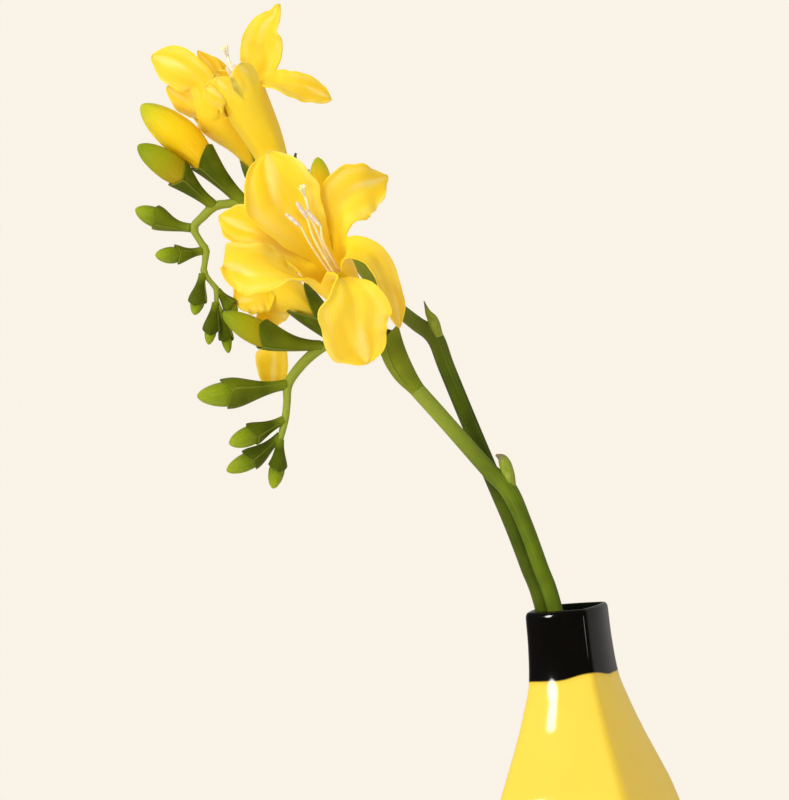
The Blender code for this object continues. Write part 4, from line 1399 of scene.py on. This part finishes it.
# %% The half-open flower
LEFT = Flower(
    name="flower_left",
    node="bloom_rear_2",
    tube_spots=((-78.9, 104.3, -8), (-80.3, 111.2, -10), (-84.6, 119.7, -10), (-91.4, 128.2, -9)),
    tube=1.4,
    throat=5.6,
    first=(0.74, 0.67, 0.0),
    petals=(
        Petal(
            ((-88.6, 134.4, -9.5, 2.6), (-89.9, 139.2, -10, 2.4), (-92.4, 143.6, -10, 0.8)),
            facing=(0.2, 0.2, -0.95), cup=0.5, wave=0.1,
        ),
        Ring(length=12.0, opening=30.0, half=2.6, cup=0.4, wave=0.1),
        Ring(length=12.0, opening=24.0, half=2.6, cup=0.4, wave=0.1),
        Petal(
            ((-94.8, 127.4, -7.5, 4.0), (-99.6, 131.6, -7.5, 3.4), (-104.0, 135.6, -8, 1.3)),
            facing=(0.1, 0.2, -0.97), cup=0.5, wave=0.1, frill=0.2,
        ),
        Petal(
            (
                (-94.8, 135.6, -2, 4.0), (-99.6, 139.1, -1.5, 5.6), (-104.0, 141.6, -3, 5.0),
                (-107.9, 143.4, -4.4, 2.8),
            ),
            facing=(0.1, 0.15, -0.98), cup=0.5, wave=0.2, frill=0.2,
        ),
        Petal(
            ((-90.6, 135.4, -5.5, 2.9), (-93.0, 140.6, -7, 2.8), (-96.0, 145.0, -8, 0.8)),
            facing=(0.2, 0.2, -0.95), cup=0.5, wave=0.1,
        ),
    ),
    bract=Bract(
        (
            (-78.9, 104.3, -8, 1.8), (-80.3, 110.8, -9.5, 2.5), (-81.6, 115.2, -10, 2.8),
            (-82.7, 119.4, -10, 2.8),
        ),
        split=0.62, tips=(1.0, 0.86), turn=0.2,
    ),
    stamens=Stamens(
        anthers=(
            ((-92.0, 132.0, -10.0), (-93.4, 135.0, -10.4)),
            ((-91.4, 131.4, -8.8), (-93.0, 134.2, -8.6)),
            ((-92.6, 131.4, -9.4), (-94.6, 133.8, -9.6)),
        ),
        style=(-93.6, 135.4, -9.6),
    ),
)
print(LEFT.name, "has", len(LEFT.petals), "petals")

# %% Flower sizes
FLOWERS = (CENTRE, LOWER, TOP, LEFT)
FLOWER_LIFT = 2.8
PETAL_WALL = 0.5
PETAL_COLUMNS = 22
TUBE_ROWS = 14
PETAL_ROWS = 38
SEAM = 0.07
PLEAT = 0.09
CRINKLE = 0.2
CRINKLE_SIZE = 4.0
TIP_FROM = 0.86
TIP_WIDTH = 0.03
RUFFLE = 0.09
FRILL_RUFFLE = 0.16
RUFFLE_WAVES = 6.0
FRILL_WAVES = 12.0
EDGE_WAVES = 1.4
FRILL_TURNS = 4.3
GROOVE = 0.22
SPREAD_OUT = 1.15
# steps of a petal that opens with the ring: share of the full opening, and share of the width
RING_STEPS_OUT = ((0.4, 0.95), (0.75, 1.0), (1.1, 0.55))
print("rows up a flower's tube and petals:", TUBE_ROWS, PETAL_ROWS)

# %% Petal formula


def tube_radius(flower, share):
    """The flower's tube: slim at its foot, then a funnel up to the throat."""
    if flower is TOP:
        return between(flower.tube, flower.throat, max(share, 0.0) ** 0.8)
    return between(flower.tube, flower.throat, ease((share - 0.3) / 0.75) ** 1.1)


def ring_spots(tube, flower, petal, angle):
    """The way of a petal that opens with the ring: out of the throat, then over step by step."""
    place = tube.point(1.0, angle, flower.throat * MM)
    axis = tube.path.tangent(1.0)
    outward = tube.outward(1.0, angle)
    spots = []
    for share, wide in RING_STEPS_OUT:
        turn = math.radians(petal.opening * share)
        place = place + (axis * math.cos(turn) + outward * math.sin(turn)) * petal.length * MM / 3
        spots.append((place, petal.half * wide))
    turn = math.radians(petal.opening * RING_STEPS_OUT[-1][0])
    return spots, axis * math.sin(turn) - outward * math.cos(turn)


def petal_place(tube, flower, petal, angle, share_half, number):
    """place(u, v) of one petal with its share of the tube below it."""
    if isinstance(petal, Ring):
        spots, facing = ring_spots(tube, flower, petal, angle)
    else:
        spots = [(spot(place[:3]), place[3]) for place in petal.spots]
        facing = heading(petal.facing)
    rim = tube.point(1.0, angle, flower.throat * MM)
    below = tube.point(0.85, angle, tube_radius(flower, 0.85) * MM)
    foot_half = flower.throat * share_half
    route = [below, rim, *[place for place, half in spots]]
    free = Path(route, [foot_half, foot_half, *[half for place, half in spots]])
    start = (rim - below).length / free.length
    along = Tube(free, -tube.outward(1.0, angle), start)
    end_axis = free.tangent(1.0)
    end_face = along.outward(1.0, 0.0)
    wanted = square_to(facing, end_axis)
    twist = math.atan2(end_face.cross(wanted).dot(end_axis), end_face.dot(wanted))
    tube_share = TUBE_ROWS / (TUBE_ROWS + PETAL_ROWS)

    def place(u, v):
        if v <= tube_share + 1e-6:
            share = v / tube_share
            seam = 0.5 * (1.0 - math.cos(math.pi * u))
            seam = seam * ease(share * 3.0) * (1.0 - ease((share - 0.5) * 2.0))
            radius = tube_radius(flower, share) * (1.0 - SEAM * seam) * MM
            return tube.point(share, angle + u * share_half, radius)
        past = (v - tube_share) / (1.0 - tube_share)
        reach = 1.0 - (1.0 - past) ** SPREAD_OUT
        share = between(start, 1.0, reach)
        face = along.outward(share, twist * ease(reach * petal.soon))
        side = face.cross(free.tangent(share))
        wide = free.value(share)
        tip = max(reach - TIP_FROM, 0.0) / (1.0 - TIP_FROM)
        half = wide * (max(1.0 - tip * tip, 0.0) ** 0.5 * (1.0 - TIP_WIDTH) + TIP_WIDTH)
        seed = 3.0 * number + (11.0 if u > 0 else 5.0)
        ruffle = RUFFLE * noise.noise(Vector((RUFFLE_WAVES * reach, seed, flower.throat)))
        ragged = noise.noise(Vector((FRILL_WAVES * reach, seed + 40.0, flower.throat)))
        ruffle += FRILL_RUFFLE * petal.frill * ragged
        half *= 1.0 + ruffle * ease(reach * 3.0)
        cup = between(share_half, petal.cup, ease(reach * 1.4))
        radius = half / cup * MM
        edge = abs(u) ** 1.5 * ease(reach * 2.0)
        turn = 2 * math.pi * reach + (1.9 if u > 0 else 0.0)
        swing = petal.wave * math.sin(EDGE_WAVES * turn + 1.3 * number)
        swing += petal.frill * math.sin(FRILL_TURNS * turn + 2.1 * number) * abs(u) ** 2
        groove = GROOVE * ease(reach * 3.0) * (1.0 - ease(reach * 1.3 - 0.3))
        groove = groove * max(1.0 - 5.0 * u * u, 0.0) ** 2
        pleat = noise.noise(Vector((2.6 * u, 2.2 * reach, 7.0 * number + flower.throat)))
        pleat = pleat * ease(reach * 2.5)
        bulge = (edge * swing - groove + PLEAT * wide * pleat) * MM
        lift = radius * (1.0 - math.cos(u * cup)) + bulge
        spread = free.point(share) + side * radius * math.sin(u * cup) + face * lift
        crinkle = noise.noise(spread / (CRINKLE_SIZE * MM))
        return spread + face * crinkle * CRINKLE * MM * ease(reach * 3.0)

    return place


print("petal formula ready")

# %% Model the flowers


def make_flower(flower):
    """Six sheets side by side round the tube, merged along it and given their wall."""
    whole = Path([spot(place) for place in flower.tube_spots])
    tube = Tube(whole.after(FLOWER_LIFT), heading(flower.first), 1.0)
    share_half = math.pi / len(flower.petals)
    sheets = []
    for k, petal in enumerate(flower.petals):
        place = petal_place(tube, flower, petal, 2 * share_half * k, share_half, k)
        name = f"{flower.name}_{k}"
        sheets.append(formed_sheet(name, PETAL_COLUMNS, TUBE_ROWS + PETAL_ROWS, place))
    bloom = join(flower.name, sheets)
    close_seams(bloom, fill=False)
    thicken(bloom, PETAL_WALL)
    smooth(bloom, 75.0)
    return bloom


def flower_bract(flower):
    """The two valves round the foot of a flower's tube, on a path of their own."""
    spots, split, tips, turn = flower.bract
    path = Path([spot(place[:3]) for place in spots], [place[3] for place in spots])
    return bract_sheet(flower.name + "_bract", Tube(path, UP, 0.5), path.value, split, tips, turn)


print("flower makers ready")

# %% Petal finish
PETAL_LEMON = (0.94, 0.665, 0.045)
PETAL_GOLD = (0.92, 0.595, 0.014)
THROAT_GOLD = (0.99, 0.69, 0.016)
TUBE_GOLD = (0.99, 0.65, 0.018)
# a paler yellow for painted sheen and a deeper gold for painted shade, both laid on in soft random
# patches
PAINTED_SHEEN_PALE = (0.94, 0.725, 0.22)
PAINTED_SHADE_GOLD = (0.93, 0.56, 0.005)
VEIN_GOLD = (0.93, 0.60, 0.006)
EDGE_PALE = (1.0, 0.77, 0.09)
TIP_GREEN = (0.52, 0.58, 0.02)


def make_petal_yellow():
    """Veined, clouded yellow with painted sheen and shade, deeper in the tube, pale at its edge."""
    petal = Finish(
        "petal_yellow",
        Roughness=0.45,
        Specular_IOR_Level=0.3,
        Subsurface_Weight=0.45,
        Subsurface_Scale=0.0014,
        Subsurface_Radius=(1.0, 0.75, 0.12),
        Sheen_Weight=0.08,
        Sheen_Roughness=0.4,
    )
    across, along = petal.split(petal.sheet())[:2]
    veins = petal.grain(petal.sheet((30.0, 1.1, 1.0)), 2.4, 3.0, 0.55)
    clouds = petal.grain(petal.place(), 55.0, 3.0)
    sheen_and_shade_patches = petal.grain(petal.sheet((2.6, 1.2, 1.0)), 1.5, 2.0, 0.45)
    patches = petal.grain(petal.place(), 110.0, 2.0)
    tube_part = 1.0 - along.over(0.10, 0.34)
    throat = along.over(0.14, 0.30) * (1.0 - along.over(0.34, 0.62))
    colour = petal.mix(clouds.over(0.3, 0.72), PETAL_LEMON, PETAL_GOLD)
    colour = petal.mix(throat * 0.5, colour, THROAT_GOLD)
    colour = petal.mix(tube_part * 0.8, colour, TUBE_GOLD)
    # painted sheen on the blades, then painted shade in deeper gold, both in soft random patches
    pale = sheen_and_shade_patches.over(0.45, 0.75) * along.over(0.3, 0.6)
    colour = petal.mix(pale * 0.8, colour, PAINTED_SHEEN_PALE)
    colour = petal.mix(sheen_and_shade_patches.over(0.48, 0.25) * 0.5, colour, PAINTED_SHADE_GOLD)
    colour = petal.mix(veins.over(0.52, 0.8) * 0.22, colour, VEIN_GOLD)
    edge = abs(across * 2.0 - 1.0).over(0.8, 1.0) * along.over(0.4, 0.7)
    colour = petal.mix(edge * 0.12, colour, EDGE_PALE)
    green_tip = patches.over(0.56, 0.66) * along.over(0.92, 0.99)
    colour = petal.mix(green_tip * 0.5, colour, TIP_GREEN)
    petal.feed(Base_Color=colour)
    petal.relief(veins + clouds * 0.5, 0.0004, 0.22)
    return petal


petal_yellow = make_petal_yellow()
for flower in FLOWERS:
    dress(make_flower(flower), petal_yellow, "petal_yellow", flower.node)
    bract = flower_bract(flower)
    if flower is CENTRE:
        dress(bract, sheath_green_painted_light, "stem_green", "stem_front")
    else:
        (front_bracts if "front" in flower.node else rear_bracts).append(bract)

# %% Put the bracts on their stems
for name, bracts, node in (
    ("bracts_a", front_bracts, "stem_front"),
    ("bracts_b", rear_bracts, "stem_rear"),
):
    dress(join(name, bracts), bract_green, "bud_green", node)

# %% [markdown]
# ## Stamens and style
#
# Inside each open flower stand three stamens, pale threads with a long anther each, and a white
# style that ends in three forked tips. They are thin tapered rods, and the anthers are fuller ones.

# %% Stamen finishes


def make_thread(name, base, shade, roughness):
    """A pale finish with a fine grain, for the threads, the anthers and the style."""
    thread = Finish(
        name,
        Roughness=roughness,
        Subsurface_Weight=0.3,
        Subsurface_Scale=0.0008,
        Subsurface_Radius=(1.0, 0.8, 0.5),
    )
    grain = thread.grain(thread.place(), 900.0, 3.0)
    thread.feed(Base_Color=thread.mix(grain.over(0.35, 0.75), base, shade))
    thread.relief(grain, 0.0002, 0.6)
    return thread


filament_cream = make_thread("filament_cream", (0.95, 0.76, 0.30), (0.98, 0.86, 0.50), 0.5)
anther_pale = make_thread("anther_pale_lilac", (0.72, 0.58, 0.48), (0.92, 0.84, 0.74), 0.8)
style_white = make_thread("style_white", (0.98, 0.88, 0.46), (1.0, 0.95, 0.75), 0.5)

print("stamen finishes:", filament_cream.material.name, anther_pale.material.name)

# %% Stamen sizes
ROD_GRID = (10, 24)
STYLE_ROWS = 40
TIP_GRID = (8, 10)
# the style's radius in the tube, above it and at its fork, and where its spots lie in the tube
STYLE_RADII = (0.5, 0.34, 0.36)
STYLE_SPOTS = (0.12, 0.5, 0.8)
FORK_LENGTH = 3.0
FORK_RADII = (0.28, 0.24, 0.3)
THREAD_FOOT = 0.55
THREAD_RADII = (0.45, 0.4, 0.3, 0.22)
ANTHER_RADII = (0.15, 0.42, 0.56, 0.42, 0.12)
FIRST_THREAD = 50.0
print("anthers are", 2 * max(ANTHER_RADII), "mm thick")

# %% Model the stamens


def rod(name, points, columns=ROD_GRID[0], rows=ROD_GRID[1]):
    """A thin rod through points that each come with a radius."""
    return round_piece(name, Path([p for p, r in points], [r for p, r in points]), columns, rows)


def tube_side(path, side, k):
    """One of three directions out of the tube's middle, a third of a turn apart."""
    axis = path.tangent(1.0)
    start = square_to(side, axis)
    angle = math.radians(FIRST_THREAD + 120.0 * k)
    return start * math.cos(angle) + axis.cross(start) * math.sin(angle)


def make_stamens(flower):
    """Three threads with anthers and a style with forked tips, each kind as one piece."""
    path = Path([spot(place) for place in flower.tube_spots]).after(FLOWER_LIFT)
    throat, side = path.point(1.0), heading(flower.first)
    tip = spot(flower.stamens.style)
    rise = (tip - throat).normalized()
    fork_at = tip - rise * FORK_LENGTH * MM
    style = [(path.point(share), STYLE_RADII[0]) for share in STYLE_SPOTS]
    style += [(between(throat, fork_at, 0.6), STYLE_RADII[1]), (fork_at, STYLE_RADII[2])]
    tips = [rod(flower.name + "_style", style, rows=STYLE_ROWS)]
    threads, anthers = [], []
    for k, (low, high) in enumerate(flower.stamens.anthers):
        low, high = spot(low), spot(high)
        foot = path.point(THREAD_FOOT) + tube_side(path, side, k) * 0.9 * MM
        knee = between(throat, low, 0.45) + tube_side(path, side, k) * 0.6 * MM
        thread = zip((foot, knee, low, between(low, high, 0.4)), THREAD_RADII)
        threads.append(rod(f"{flower.name}_thread_{k}", list(thread)))
        inner = [between(low, high, share) for share in (0.1, 0.5, 0.9)]
        body = zip((low, *inner, high), ANTHER_RADII)
        anthers.append(rod(f"{flower.name}_anther_{k}", list(body)))
        away = tube_side(path, side, k + 0.5)
        fork = fork_at + (rise * 1.6 + away * 0.45) * MM
        for hand in (-1.0, 1.0):
            beside = rise.cross(away) * hand
            end = fork + (rise * 1.3 + away * 0.3 + beside * 0.45) * MM
            branch = list(zip((fork_at, fork, end), FORK_RADII))
            tips.append(rod(f"{flower.name}_tip_{k}", branch, *TIP_GRID))
    node = flower.node.replace("bloom", "stamens")
    for name, rods, finish in (
        ("threads", threads, filament_cream),
        ("anthers", anthers, anther_pale),
        ("style", tips, style_white),
    ):
        piece = join(f"{flower.name}_{name}", rods)
        smooth(piece, 60.0)
        dress(piece, finish, "stamen_cream", node)


for flower in FLOWERS:
    make_stamens(flower)
